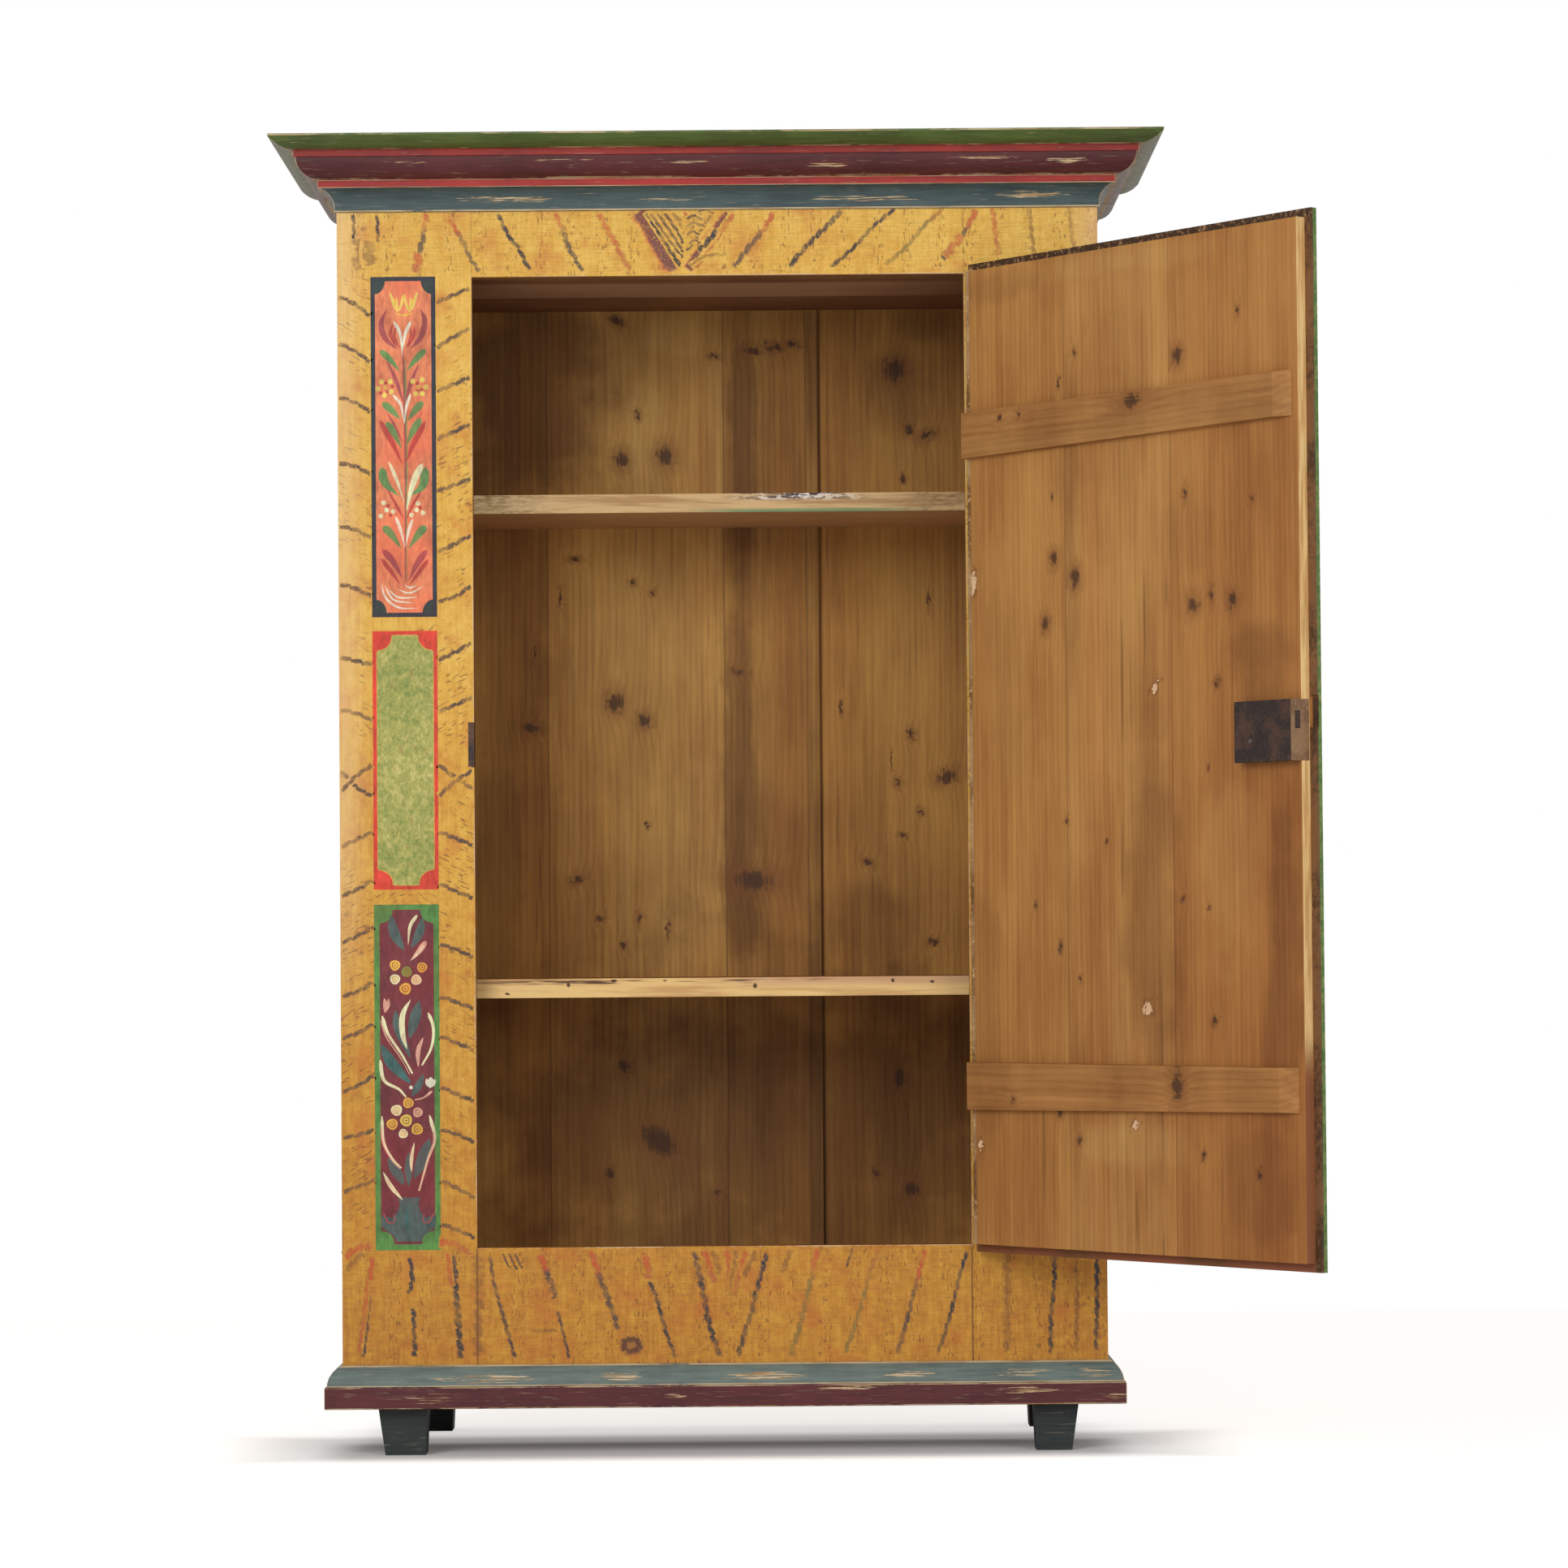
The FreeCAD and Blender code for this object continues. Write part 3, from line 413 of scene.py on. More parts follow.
@dataclass(frozen=True)
class Pine:
    """Unpainted old pine: nearly straight growth rings that swerve round knots, fibres, and soft patches of
    real staining and of painted shade and light.
    """

    name: str
    light: Linear
    dark: Linear
    grain: Grain
    lines: float = 105.0
    wander: float = 5.0
    joints: tuple[float, ...] = ()
    tones: tuple[float, ...] = ()
    joint_depth: float = 0.7
    knots: Knots = field(default_factory=dict)
    chips: Knots = field(default_factory=dict)
    stains_and_shade: tuple[StainAndShade, ...] = ()
    turned: bool = False
    warmth: float = 0.3
    roughness: float = 0.6

    def spot_distance(self, recipe: Recipe, point: Socket, spots: Knots, ragged: float,
                      drift: Value) -> Value:
        """How many radii the nearest of some spots is away.

        Args:
            recipe: The material that is being mixed.
            point: The point in the board's frame.
            spots: The spots: their middles across and up and half their widths, in millimetres.
            ragged: How far their outlines wander, in metres.
            drift: The noise that they wander by, about 0.

        Returns:
            The distance.
        """
        across, _, up = recipe.axes(point)
        flat = recipe.joined(across + ragged * drift, 0.0, up - 1.3 * ragged * drift)
        aways = []
        for lie, places in spots.items():
            tall, lean = lie.value
            inputs = {"Vector": flat, "Rotation": (0.0, lean, 0.0), "Scale": (1.0, 1.0, tall)}
            level = recipe.node("ShaderNodeMapping", {"vector_type": "TEXTURE"}, inputs).outputs[0]
            for x, z, radius in places:
                middle = ((x * math.cos(lean) - z * math.sin(lean)) * MM, 0.0,
                          (x * math.sin(lean) + z * math.cos(lean)) * MM / tall)
                aways.append(recipe.distance(level, middle) / (radius * MM))
        return reduce(Value.least, aways)

    def stained_and_shaded(self, recipe: Recipe, point: Socket, colour: Input) -> Input:
        """Lays the soft patches over a colour, real staining and painted shade and light alike; a patch with
        a depth under 0 is a pale one.

        Args:
            recipe: The material that is being mixed.
            point: The point in the board's frame.
            colour: The clean wood.

        Returns:
            The wood with its patches.
        """
        drift = recipe.noise(point, 8.0, detail=4.0, roughness=0.6) - 0.5
        # Pale patches are screened on and dark ones multiplied on; on the back boards they are partly real
        # staining and partly painted shade and painted light.
        kinds = ((True, rgb(140, 112, 66), "SCREEN"), (False, rgb(120, 88, 66), "MULTIPLY"))
        for pale, tint, blend in kinds:
            masks = []
            for stain_and_shade in self.stains_and_shade:
                if (stain_and_shade.depth < 0.0) is pale:
                    stretch = (1.0 / (stain_and_shade.half_width * MM), 0.0, 1.0 / (stain_and_shade.half_height * MM))
                    shift = (-stain_and_shade.across / stain_and_shade.half_width, 0.0, -stain_and_shade.up / stain_and_shade.half_height)
                    reach = recipe.distance(recipe.mapped(point, stretch, shift)) + 2.2 * drift
                    masks.append(reach.fall(0.5, 1.25) * abs(stain_and_shade.depth))
            if masks:
                colour = recipe.mix(reduce(Value.most, masks), colour, tint, blend)
        return colour

    def jointed(self, recipe: Recipe, across: Value, colour: Input) -> Input:
        """Gives each board its tone and darkens the joints between them.

        Args:
            recipe: The material that is being mixed.
            across: The place across the boards.
            colour: The wood.

        Returns:
            The toned and jointed wood.
        """
        for place, tone in enumerate(self.tones):
            if tone == 1.0:
                continue
            mask: Number = 1.0
            if place > 0:
                mask = across > self.joints[place - 1]
            if place < len(self.joints):
                mask = (across < self.joints[place]) * mask
            colour = recipe.mix(mask, colour, rgb(255 * tone, 248 * tone, 240 * tone), "MULTIPLY")
        for joint in self.joints:
            colour = recipe.mix(across.near(joint, 0.0016) * self.joint_depth, colour, rgb(52, 30, 18))
        return colour

    def surface(self, recipe: Recipe) -> tuple[Socket, Value, Value]:
        """Mixes the wood.

        Args:
            recipe: The material that is being mixed.

        Returns:
            Its colour, roughness and relief.
        """
        point = recipe.place(self.turned)
        across, deep, up = recipe.axes(point)
        offset = point
        if self.joints:
            board = sum((across > joint) for joint in self.joints)
            offset = recipe.joined(across, deep + 1.7 * board, up)
        grain = recipe.mapped(offset, stretch=self.grain.value)
        beside = across + deep if self.grain is Grain.UP else deep + up
        warp = recipe.noise(point, 120.0, roughness=0.6) - 0.5
        phase = beside * self.lines + self.wander * recipe.noise(grain, 6.0, detail=3.0, roughness=0.55)
        if self.knots:
            distance = self.spot_distance(recipe, point, self.knots, 0.016, warp)
            phase = phase + 2.2 / (1.0 + distance * distance * 0.5)
        ring = phase.part()
        late = ring.rise(0.3, 0.9) * ring.fall(0.9, 1.0)
        fibre = recipe.noise(grain, 620.0, roughness=0.6)
        streak = recipe.noise(grain, 120.0, detail=3.0, roughness=0.6)
        broad = recipe.noise(grain, 20.0, detail=3.0, roughness=0.6)
        blotch = recipe.noise(offset, 6.0, detail=4.0, roughness=0.6, stretch=(1.0, 1.0, 0.5))
        amount = 0.08 * late + 0.22 * fibre + 0.5 * streak + 0.48 * broad + 0.92 * blotch - 0.57
        colour = recipe.mix(amount.rise(0.05, 0.95), self.light, self.dark)
        warm = recipe.noise(grain, 9.0).rise(0.46, 0.68) * self.warmth
        colour = recipe.mix(warm, colour, rgb(252, 200, 160), "MULTIPLY")
        pale = recipe.noise(grain, 74.0, detail=1.0).rise(0.66, 0.76) * 0.16
        colour = recipe.mix(pale, colour, rgb(120, 104, 84), "SCREEN")
        check = recipe.noise(grain, 95.0, detail=1.0, roughness=0.4).rise(0.735, 0.77) * 0.4
        colour = recipe.mix(check, colour, rgb(84, 50, 28))
        colour = self.jointed(recipe, across, self.stained_and_shaded(recipe, point, colour))
        relief = 0.1 * late + 0.3 * fibre + 0.25 * streak
        if self.knots:
            halo = (distance + 1.2 * (streak - 0.5)).fall(0.7, 2.6) * 0.45
            colour = recipe.mix(halo, colour, rgb(132, 80, 42))
            rough = distance + 1.3 * (streak - 0.5) + 1.4 * (fibre - 0.5)
            core = rough.fall(0.4, 1.15)
            heart = recipe.mix(fibre, rgb(42, 24, 18), rgb(96, 62, 42))
            colour = recipe.mix(core * 0.85, colour, heart)
            relief = relief + 0.5 * core
        if self.chips:
            torn = self.spot_distance(recipe, point, self.chips, 0.03, warp)
            pit = torn.fall(0.55, 0.75)
            colour = recipe.mix(torn.fall(0.7, 1.4) * 0.6, colour, rgb(120, 70, 38))
            colour = recipe.mix(pit * fibre.rise(0.2, 0.5), colour, rgb(240, 200, 160))
            relief = relief - 0.6 * pit
        return colour, self.roughness + 0.2 * (fibre - 0.5), relief

    def build(self) -> Material:
        """Makes the material.

        Returns:
            The finished material.
        """
        recipe = Recipe(self.name)
        colour, roughness, relief = self.surface(recipe)
        return recipe.finish(colour, roughness, relief, depth=0.00025, gloss=0.3)


@dataclass(frozen=True)
class OchreGround:
    """The combed ochre ground of the front and sides, worn to the wood along its edges."""

    name: str = "ochre_combed_paint"
    bare: Linear = rgb(226, 192, 148)
    comb: Linear = rgb(118, 70, 38)
    crossing: float = 0.92
    seam: float = 0.006
    knot: tuple[Triple, Triple] = ((62.0, 0.0, 76.0), (7.97, 0.0, -11.26))
    turned: bool = False

    def tint(self, recipe: Recipe, point: Socket, up: Value) -> tuple[Input, Value, Value]:
        """Mixes the ochre before it was combed.

        Args:
            recipe: The material that is being mixed.
            point: The point on the board.
            up: Its height.

        Returns:
            The colour, the brushing and the mottling.
        """
        cloud = recipe.noise(point, 5.0, detail=4.0, roughness=0.6)
        brush = recipe.noise(point, 230.0, detail=3.0, roughness=0.65, stretch=(1.0, 1.0, 0.08))
        mottle = recipe.noise(point, 62.0, detail=4.0, roughness=0.7)
        level = 0.45 * cloud + 0.4 * brush + 0.6 * mottle + 0.13 * up - 0.29
        stops = [(0.24, rgb(180, 118, 50)), (0.42, rgb(210, 150, 54)), (0.56, rgb(226, 172, 66)),
                 (0.78, rgb(240, 196, 94))]
        colour = recipe.ramp(level, stops)
        blush = recipe.noise(point, 19.0, detail=3.0, roughness=0.6).rise(0.5, 0.72) * 0.5
        colour = recipe.mix(blush, colour, rgb(206, 116, 52))
        speck = recipe.noise(point, 420.0, roughness=0.6, stretch=(1.0, 1.0, 0.5))
        colour = recipe.mix(speck.rise(0.6, 0.72) * 0.35, colour, rgb(158, 96, 44))
        # Darker and browner towards the bottom; the ramp's level above also rises with height.
        bottom_darkening = up.fall(0.1, 1.1) * (0.6 + 0.8 * (cloud - 0.5))
        return recipe.mix(bottom_darkening, colour, rgb(230, 208, 180), "MULTIPLY"), brush, mottle

    def combing(self, recipe: Recipe, point: Socket, across: Value, rail: Value) -> Value:
        """The small dark pips and arcs that the comb's teeth left between the strokes.

        Args:
            recipe: The material that is being mixed.
            point: The point on the board.
            across: Its place across the front.
            rail: 1 on the rails, where the comb ran upright, and 0 on the stiles.

        Returns:
            How dark the marks are.
        """
        column = (across * 150.0).wave().rise(-0.1, 0.7)
        patch = recipe.noise(point, 15.0, detail=1.0)
        dashes = recipe.noise(point, 360.0, detail=1.0, stretch=(1.0, 1.0, 0.3)).rise(0.575, 0.66)
        dashes = dashes * (patch + 0.35 * column).rise(0.56, 0.74)
        _, deep, up = recipe.axes(point)
        folded = recipe.joined(abs(abs(across) - STILE_MIDDLE), deep, abs(up - self.crossing))
        slanted = recipe.mapped(folded, turn=(0.0, 0.5, 0.0))
        arcs = recipe.noise(slanted, 330.0, detail=1.0, stretch=(0.24, 1.0, 1.0)).rise(0.585, 0.67)
        arcs = arcs * patch.rise(0.44, 0.62)
        return (dashes * rail + arcs * (1.0 - rail)) * 0.6

    def surface(self, recipe: Recipe) -> tuple[Socket, Value, Value]:
        """Mixes the ground.

        Args:
            recipe: The material that is being mixed.

        Returns:
            Its colour, roughness and relief.
        """
        point = recipe.place(self.turned)
        across, deep, up = recipe.axes(point)
        colour, brush, mottle = self.tint(recipe, point, up)
        over = (up - OPENING_BOTTOM).rise(-self.seam, self.seam)
        rail = 1.0 - over * (up - OPENING_TOP).fall(-self.seam, self.seam)
        grain = recipe.noise(point, 640.0, stretch=(0.05, 1.0, 1.0)).rise(0.46, 0.7)
        colour = recipe.mix(grain * rail * 0.24, colour, self.comb)
        colour = recipe.mix(self.combing(recipe, point, across, rail), colour, self.comb)
        edge = abs(abs(across) - OPENING_HALF)
        beside = (up - OPENING_BOTTOM).rise(-0.005, -0.003) * (up - OPENING_TOP).fall(0.0, 0.005)
        sill = abs(up - OPENING_BOTTOM).least(abs(up - OPENING_TOP))
        within = (abs(across) - OPENING_HALF).fall(0.0, 0.004)
        rim = (edge.fall(0.0, 0.005) * beside).most(sill.fall(0.0, 0.005) * within)
        corner = 0.6 + 0.4 * (deep - FRONT).fall(0.004, 0.03)
        outer = (abs(across) - CARCASS_HALF).rise(-0.004, 0.0) * corner
        wash = (abs(across) - CARCASS_HALF).rise(-0.05, 0.0) * (deep < FRONT + 0.001) * (0.2 + 0.4 * brush)
        wash = wash * up.rise(0.5, 0.9)
        colour = recipe.mix(wash, colour, rgb(244, 208, 160))
        crumbs = recipe.noise(point, 150.0, detail=4.0, roughness=0.75)
        long_wear = recipe.noise(point, 9.0)
        worn = (rim.most(outer * 0.9) * (0.7 * crumbs + 0.65 * long_wear)).rise(0.6, 0.7)
        specks = recipe.noise(point, 210.0).rise(0.74, 0.76) * 0.5
        colour = recipe.mix(worn.most(specks) * 0.85, colour, self.bare)
        seam = edge.fall(0.0006, 0.0016) * rail * (1.0 - 0.7 * up.rise(0.8, 1.0))
        colour = recipe.mix(seam * 0.7, colour, rgb(96, 58, 30))
        knot = recipe.distance(recipe.mapped(point, *self.knot)) + 1.2 * (crumbs - 0.5)
        colour = recipe.mix(knot.fall(0.8, 1.3) * 0.6, colour, rgb(134, 84, 52))
        colour = recipe.mix(knot.near(0.62, 0.4) * 0.8, colour, rgb(84, 52, 44))
        return colour, 0.4 + 0.25 * mottle, 0.5 * brush + 0.3 * mottle - 0.7 * worn

    def build(self) -> Material:
        """Makes the material.

        Returns:
            The finished material.
        """
        recipe = Recipe(self.name)
        colour, roughness, relief = self.surface(recipe)
        return recipe.finish(colour, roughness, relief, depth=0.0002)


@dataclass(frozen=True)
class OchreBoards:
    """Boards painted ochre where they can be seen from outside and left as raw pine within."""

    name: str
    ground: OchreGround
    wood: Pine

    def build(self) -> Material:
        """Makes the material.

        Returns:
            The finished material.
        """
        recipe = Recipe(self.name)
        paint, gloss, relief = self.ground.surface(recipe)
        wood, dull, fibres = self.wood.surface(recipe)
        across, deep, _ = recipe.axes(recipe.place())
        painted = (deep < -0.2165).most(abs(across) > CARCASS_HALF - 0.0005)
        return recipe.finish(recipe.mix(painted, wood, paint), painted.choose(dull, gloss),
                             painted.choose(fibres, relief), depth=0.0002)


@dataclass(frozen=True)
class CombStroke:
    """One drag of the comb over the ochre: ragged, beaded, and of two colours along its length."""

    name: str
    turned: bool
    head: Linear
    tail: Linear
    change: float
    strength: float
    beads: float
    slip: float = 0.2
    swell: float = 0.25
    gaps: float = 0.4
    rim: Linear = rgb(166, 102, 56)

    def build(self) -> Material:
        """Makes the material, whose margins are the same ochre as the ground under it.

        Returns:
            The finished material.
        """
        recipe = Recipe(self.name)
        ground, roughness, relief = OchreGround(turned=self.turned).surface(recipe)
        place = recipe.node("ShaderNodeUVMap", {"uv_map": "UVMap"}).outputs[0]
        along, across, _ = recipe.axes(place)
        count = recipe.value(recipe.node("ShaderNodeAttribute", {"attribute_name": "beads"}).outputs["Fac"])
        phase = count.part()
        point = recipe.place(self.turned)
        ragged = recipe.noise(point, 260.0, detail=3.0, roughness=0.7)
        bead = recipe.noise(point, 85.0, detail=1.0)
        sway = recipe.noise(point, 60.0, detail=1.0) - 0.5
        side = abs(across - 0.5 + 0.24 * sway + self.slip * (phase - 0.5)) * 2.0
        waist = 1.0 - self.swell * abs(phase * 2.0 - 1.0)
        reach = side / waist + 0.34 * (ragged - 0.5) + self.beads * (0.5 - bead)
        dense = reach.fall(0.36, 0.8) * along.rise(0.0, 0.04) * along.fall(0.96, 1.0)
        change = (along + 0.35 * (bead - 0.5)).rise(self.change - 0.12, self.change + 0.12)
        tint = recipe.mix(change, self.head, self.tail)
        tint = recipe.mix(reach.fall(0.3, 0.65), self.rim, tint)
        dry = recipe.noise(point, 330.0).rise(0.3, 0.5)
        full = recipe.noise(point, 40.0).rise(0.38, 0.56)
        share = dense * (0.6 + 0.4 * dry) * (1.0 - self.gaps + self.gaps * full) * self.strength
        return recipe.finish(recipe.mix(share, ground, tint), roughness, relief + 0.3 * share, depth=0.0002)


@dataclass(frozen=True)
class PotPaint:
    """A flat oil colour of the ornament, brushed on and a little rubbed."""

    hue: Hue
    shade: float = 0.16

    def build(self) -> Material:
        """Makes the material.

        Returns:
            The finished material.
        """
        recipe = Recipe("paint_" + self.hue.name.lower())
        point = recipe.place()
        brush = recipe.noise(point, 190.0, detail=3.0, roughness=0.65, stretch=(1.0, 1.0, 0.35))
        cloud = recipe.noise(point, 26.0, detail=3.0, roughness=0.6)
        red, green, blue = self.hue.value
        deep = rgb(red * 0.78, green * 0.74, blue * 0.74)
        pale = rgb(min(red * 1.08 + 8, 255), min(green * 1.08 + 8, 255), min(blue * 1.06 + 6, 255))
        colour = recipe.mix((0.55 * brush + 0.55 * cloud).rise(0.3, 0.8), deep, pale)
        warm = recipe.noise(point, 12.0).rise(0.46, 0.66) * 0.4
        colour = recipe.mix(warm, colour, rgb(min(red * 1.14 + 10, 255), green * 0.86, blue * 0.86))
        rubbed = recipe.noise(point, 330.0, roughness=0.7).rise(0.66, 0.74) * self.shade
        colour = recipe.mix(rubbed, colour, rgb(214, 176, 120))
        return recipe.finish(colour, 0.4 + 0.2 * brush, brush, depth=0.00012)


@dataclass(frozen=True)
class MottledField:
    """Olive green dabbed over yellow, as in the plain middle panel."""

    name: str = "mottled_green_paint"

    def build(self) -> Material:
        """Makes the material.

        Returns:
            The finished material.
        """
        recipe = Recipe(self.name)
        point = recipe.place()
        dabs = recipe.noise(point, 105.0, detail=4.0, roughness=0.7)
        cloud = recipe.noise(point, 16.0)
        stops = [(0.28, rgb(104, 128, 58)), (0.42, rgb(146, 154, 76)), (0.54, rgb(178, 174, 94)),
                 (0.7, rgb(220, 206, 130))]
        fine = recipe.noise(point, 300.0, roughness=0.6, stretch=(1.0, 1.0, 0.6))
        colour = recipe.ramp(0.5 * dabs + 0.45 * fine + 0.3 * cloud - 0.12, stops)
        rust = recipe.noise(point, 150.0, stretch=(1.0, 1.0, 0.5)).rise(0.66, 0.72) * 0.5
        colour = recipe.mix(rust, colour, rgb(176, 120, 78))
        return recipe.finish(colour, 0.45 + 0.2 * dabs, dabs, depth=0.0002)


@dataclass(frozen=True)
class BandedPaint:
    """Old oil paint on a moulding: a colour for each band of height, worn through along its edges."""

    name: str
    bands: tuple[tuple[float, Linear], ...]
    worn_edges: tuple[tuple[float, float], ...]
    wear: float = 0.5
    patches: tuple[tuple[float, float, float, float], ...] = ()
    chalk: float = 0.0
    bare: Linear = rgb(214, 192, 152)
    roughness: float = 0.42

    def worn(self, recipe: Recipe, point: Socket) -> Value:
        """Where the paint is gone.

        Args:
            recipe: The material that is being mixed.
            point: The point on the moulding.

        Returns:
            1 on bare wood, 0 on paint.
        """
        across, deep, up = recipe.axes(point)
        chip = recipe.noise(point, 190.0, detail=4.0, roughness=0.75, stretch=(0.16, 0.16, 1.0))
        scratch = recipe.noise(point, 640.0, detail=3.0, roughness=0.7, stretch=(0.035, 0.035, 1.0))
        spread = recipe.noise(point, 7.0, stretch=(1.0, 1.0, 0.2))
        worn = (scratch + 0.4 * (spread - 0.5)).rise(0.7, 0.76) * 0.7
        for place, reach in self.worn_edges:
            level = up.near(place, reach) * (0.75 * chip + 0.6 * spread + 0.3 * self.wear)
            worn = worn.most(level.rise(0.74, 0.88) * 0.8)
        for left, right, bottom, top in self.patches:
            spot = abs(across - (left + right) / 2) * (2.0 / (right - left))
            tall = abs(up - (bottom + top) / 2) * (2.6 / (top - bottom))
            level = (spot * spot + tall * tall).fall(0.0, 1.6) * 0.33 + scratch
            worn = worn.most(level.rise(0.8, 0.88) * (deep < FRONT - 0.001))
        return worn

    def build(self) -> Material:
        """Makes the material.

        Returns:
            The finished material.
        """
        recipe = Recipe(self.name)
        point = recipe.place()
        across, deep, up = recipe.axes(point)
        ripple = recipe.noise(point, 30.0)
        height = up + 0.0012 * (ripple - 0.5)
        colour: Input = self.bands[0][1]
        for start, tint in self.bands[1:]:
            colour = recipe.mix(height.rise(start - 0.0004, start + 0.0004), colour, tint)
        brush = recipe.noise(point, 260.0, detail=3.0, roughness=0.65, stretch=(0.05, 0.05, 1.0))
        cloud = recipe.noise(point, 9.0, detail=4.0, roughness=0.65)
        tone = (0.6 * brush + 0.55 * cloud).rise(0.34, 0.8)
        colour = recipe.mix((1.0 - tone) * 0.8, colour, rgb(168, 168, 172), "MULTIPLY")
        colour = recipe.mix(tone * 0.3, colour, rgb(190, 190, 176), "SOFT_LIGHT")
        streak = recipe.noise(point, 330.0, stretch=(0.09, 0.09, 1.0)).rise(0.6, 0.76) * 0.3
        colour = recipe.mix(streak, colour, recipe.mix(0.5, colour, rgb(206, 190, 160)))
        mitre = abs(across) - CARCASS_HALF + deep - FRONT
        crumbs = recipe.noise(point, 210.0, detail=4.0, roughness=0.75)
        joint = (abs(mitre).fall(0.0004, 0.0016) * (0.4 + crumbs)).rise(0.72, 0.88)
        worn = self.worn(recipe, point).most(joint)
        if self.chalk:
            side = mitre.rise(0.0002, 0.0008) * (abs(across) > CARCASS_HALF) * (up < CORNICE_TOP - 0.001)
            film = side * (0.35 + 0.65 * crumbs.rise(0.38, 0.6)) * self.chalk
            colour = recipe.mix(film, colour, rgb(196, 190, 182))
        wood = recipe.mix(brush.rise(0.4, 0.7), self.bare, rgb(176, 132, 84))
        colour = recipe.mix(worn, colour, wood)
        relief = 0.4 * brush - 0.9 * worn
        return recipe.finish(colour, self.roughness + 0.22 * brush + 0.15 * worn, relief, depth=0.0003)


@dataclass(frozen=True)
class DoorWood:
    """The door's boards: raw pine inside, worn edges, green round the lip and ochre on the outer face."""

    name: str
    wood: Pine
    ground: OchreGround
    half: float = 0.347
    middle: float = 0.9475
    raised_half: float = 0.3357
    raised_reach: float = 0.6632
    lip_back: float = -0.2254
    border: tuple[float, float] = (0.312, 0.6395)
    notch_shade: float = 0.9825

    def build(self) -> Material:
        """Makes the material.

        Returns:
            The finished material.
        """
        recipe = Recipe(self.name)
        wood, dull, fibres = self.wood.surface(recipe)
        paint, gloss, relief = self.ground.surface(recipe)
        point = recipe.place(True)
        across, deep, up = recipe.axes(point)
        high = up - self.middle
        chips = recipe.noise(point, 140.0, detail=3.0, roughness=0.7)
        slow = recipe.noise(point, 9.0)
        outer = deep < DOOR_FRONT + 0.0003
        margin = (across - self.raised_half).rise(-0.0092, -0.0052) * (deep > self.lip_back)
        free = (across * -1.0).rise(-0.15, 0.36) * (0.75 - 0.4 * up.rise(0.4, 1.5))
        wood = recipe.mix(free, wood, rgb(226, 196, 172), "MULTIPLY")
        ragged = deep + 0.004 * (chips - 0.5)
        side_lip = (across < 0.0002 - self.half) * (ragged < DOOR_FRONT + 0.006)
        # Painted shade: a dark patch on the free edge at the lock's height, for the shade of the bolt's
        # opening.
        notch_shade = (across < -self.raised_half) * (deep > DOOR_FRONT + 0.0044) * up.near(self.notch_shade, 0.024)
        green = recipe.mix(chips.rise(0.35, 0.7), rgb(80, 112, 52), rgb(132, 148, 86))
        border = (abs(across) > self.border[0]).most(abs(high) > self.border[1])
        front = recipe.mix(border, paint, green)
        patchy = (0.5 * chips + 0.6 * slow).rise(0.42, 0.62)
        dark_edge = recipe.mix(patchy, rgb(72, 48, 28), rgb(126, 86, 52))
        crumbs = recipe.noise(point, 150.0, detail=4.0, roughness=0.75).rise(0.5, 0.66)
        crumbly = recipe.mix(crumbs, rgb(70, 46, 28), rgb(176, 136, 94))
        rubbing = crumbs.most(slow.rise(0.4, 0.6) * 0.6)
        rubbed = recipe.mix(rubbing, rgb(104, 72, 44), rgb(218, 180, 132))
        ruddy = recipe.mix(slow.rise(0.3, 0.7), rgb(146, 84, 56), rgb(118, 76, 44))
        wood = recipe.mix(margin * 0.85, wood, rubbed)
        edge = recipe.mix(high > self.raised_reach, dark_edge, crumbly)
        edge = recipe.mix((across > self.raised_half) * (high < self.raised_reach + 0.0043), edge, rubbed)
        edge = recipe.mix((high < -self.raised_reach) * (across > -self.raised_half), edge, ruddy)
        lip = (abs(across) > self.raised_half).most(abs(high) > self.raised_reach)
        colour = recipe.mix(lip, wood, edge)
        drawn = recipe.noise(point, 140.0, detail=3.0, roughness=0.6, stretch=(1.0, 1.0, 0.08))
        pale = recipe.mix(drawn.rise(0.35, 0.65), rgb(246, 208, 142), rgb(212, 162, 100))
        pale = recipe.mix((up + 0.08 * (slow - 0.5)).fall(0.5, 0.6), pale, rgb(146, 88, 54))
        arris = (across + self.raised_half).near(0.0, 0.0009) * (deep > self.lip_back + 0.0002)
        colour = recipe.mix(arris, colour, pale)
        # Lays the painted shade at the lock's height on the free edge.
        colour = recipe.mix(notch_shade.rise(0.1, 0.6) * 0.75, colour, rgb(58, 36, 30))
        colour = recipe.mix(side_lip, colour, green)
        colour = recipe.mix(outer, colour, front)
        worn = (abs(across) - self.half).rise(-0.003, 0.0) * (0.55 * chips + 0.6 * slow)
        colour = recipe.mix(worn.rise(0.6, 0.68) * outer, colour, rgb(222, 190, 140))
        return recipe.finish(colour, outer.choose(dull, gloss), outer.choose(fibres, relief), depth=0.0002)


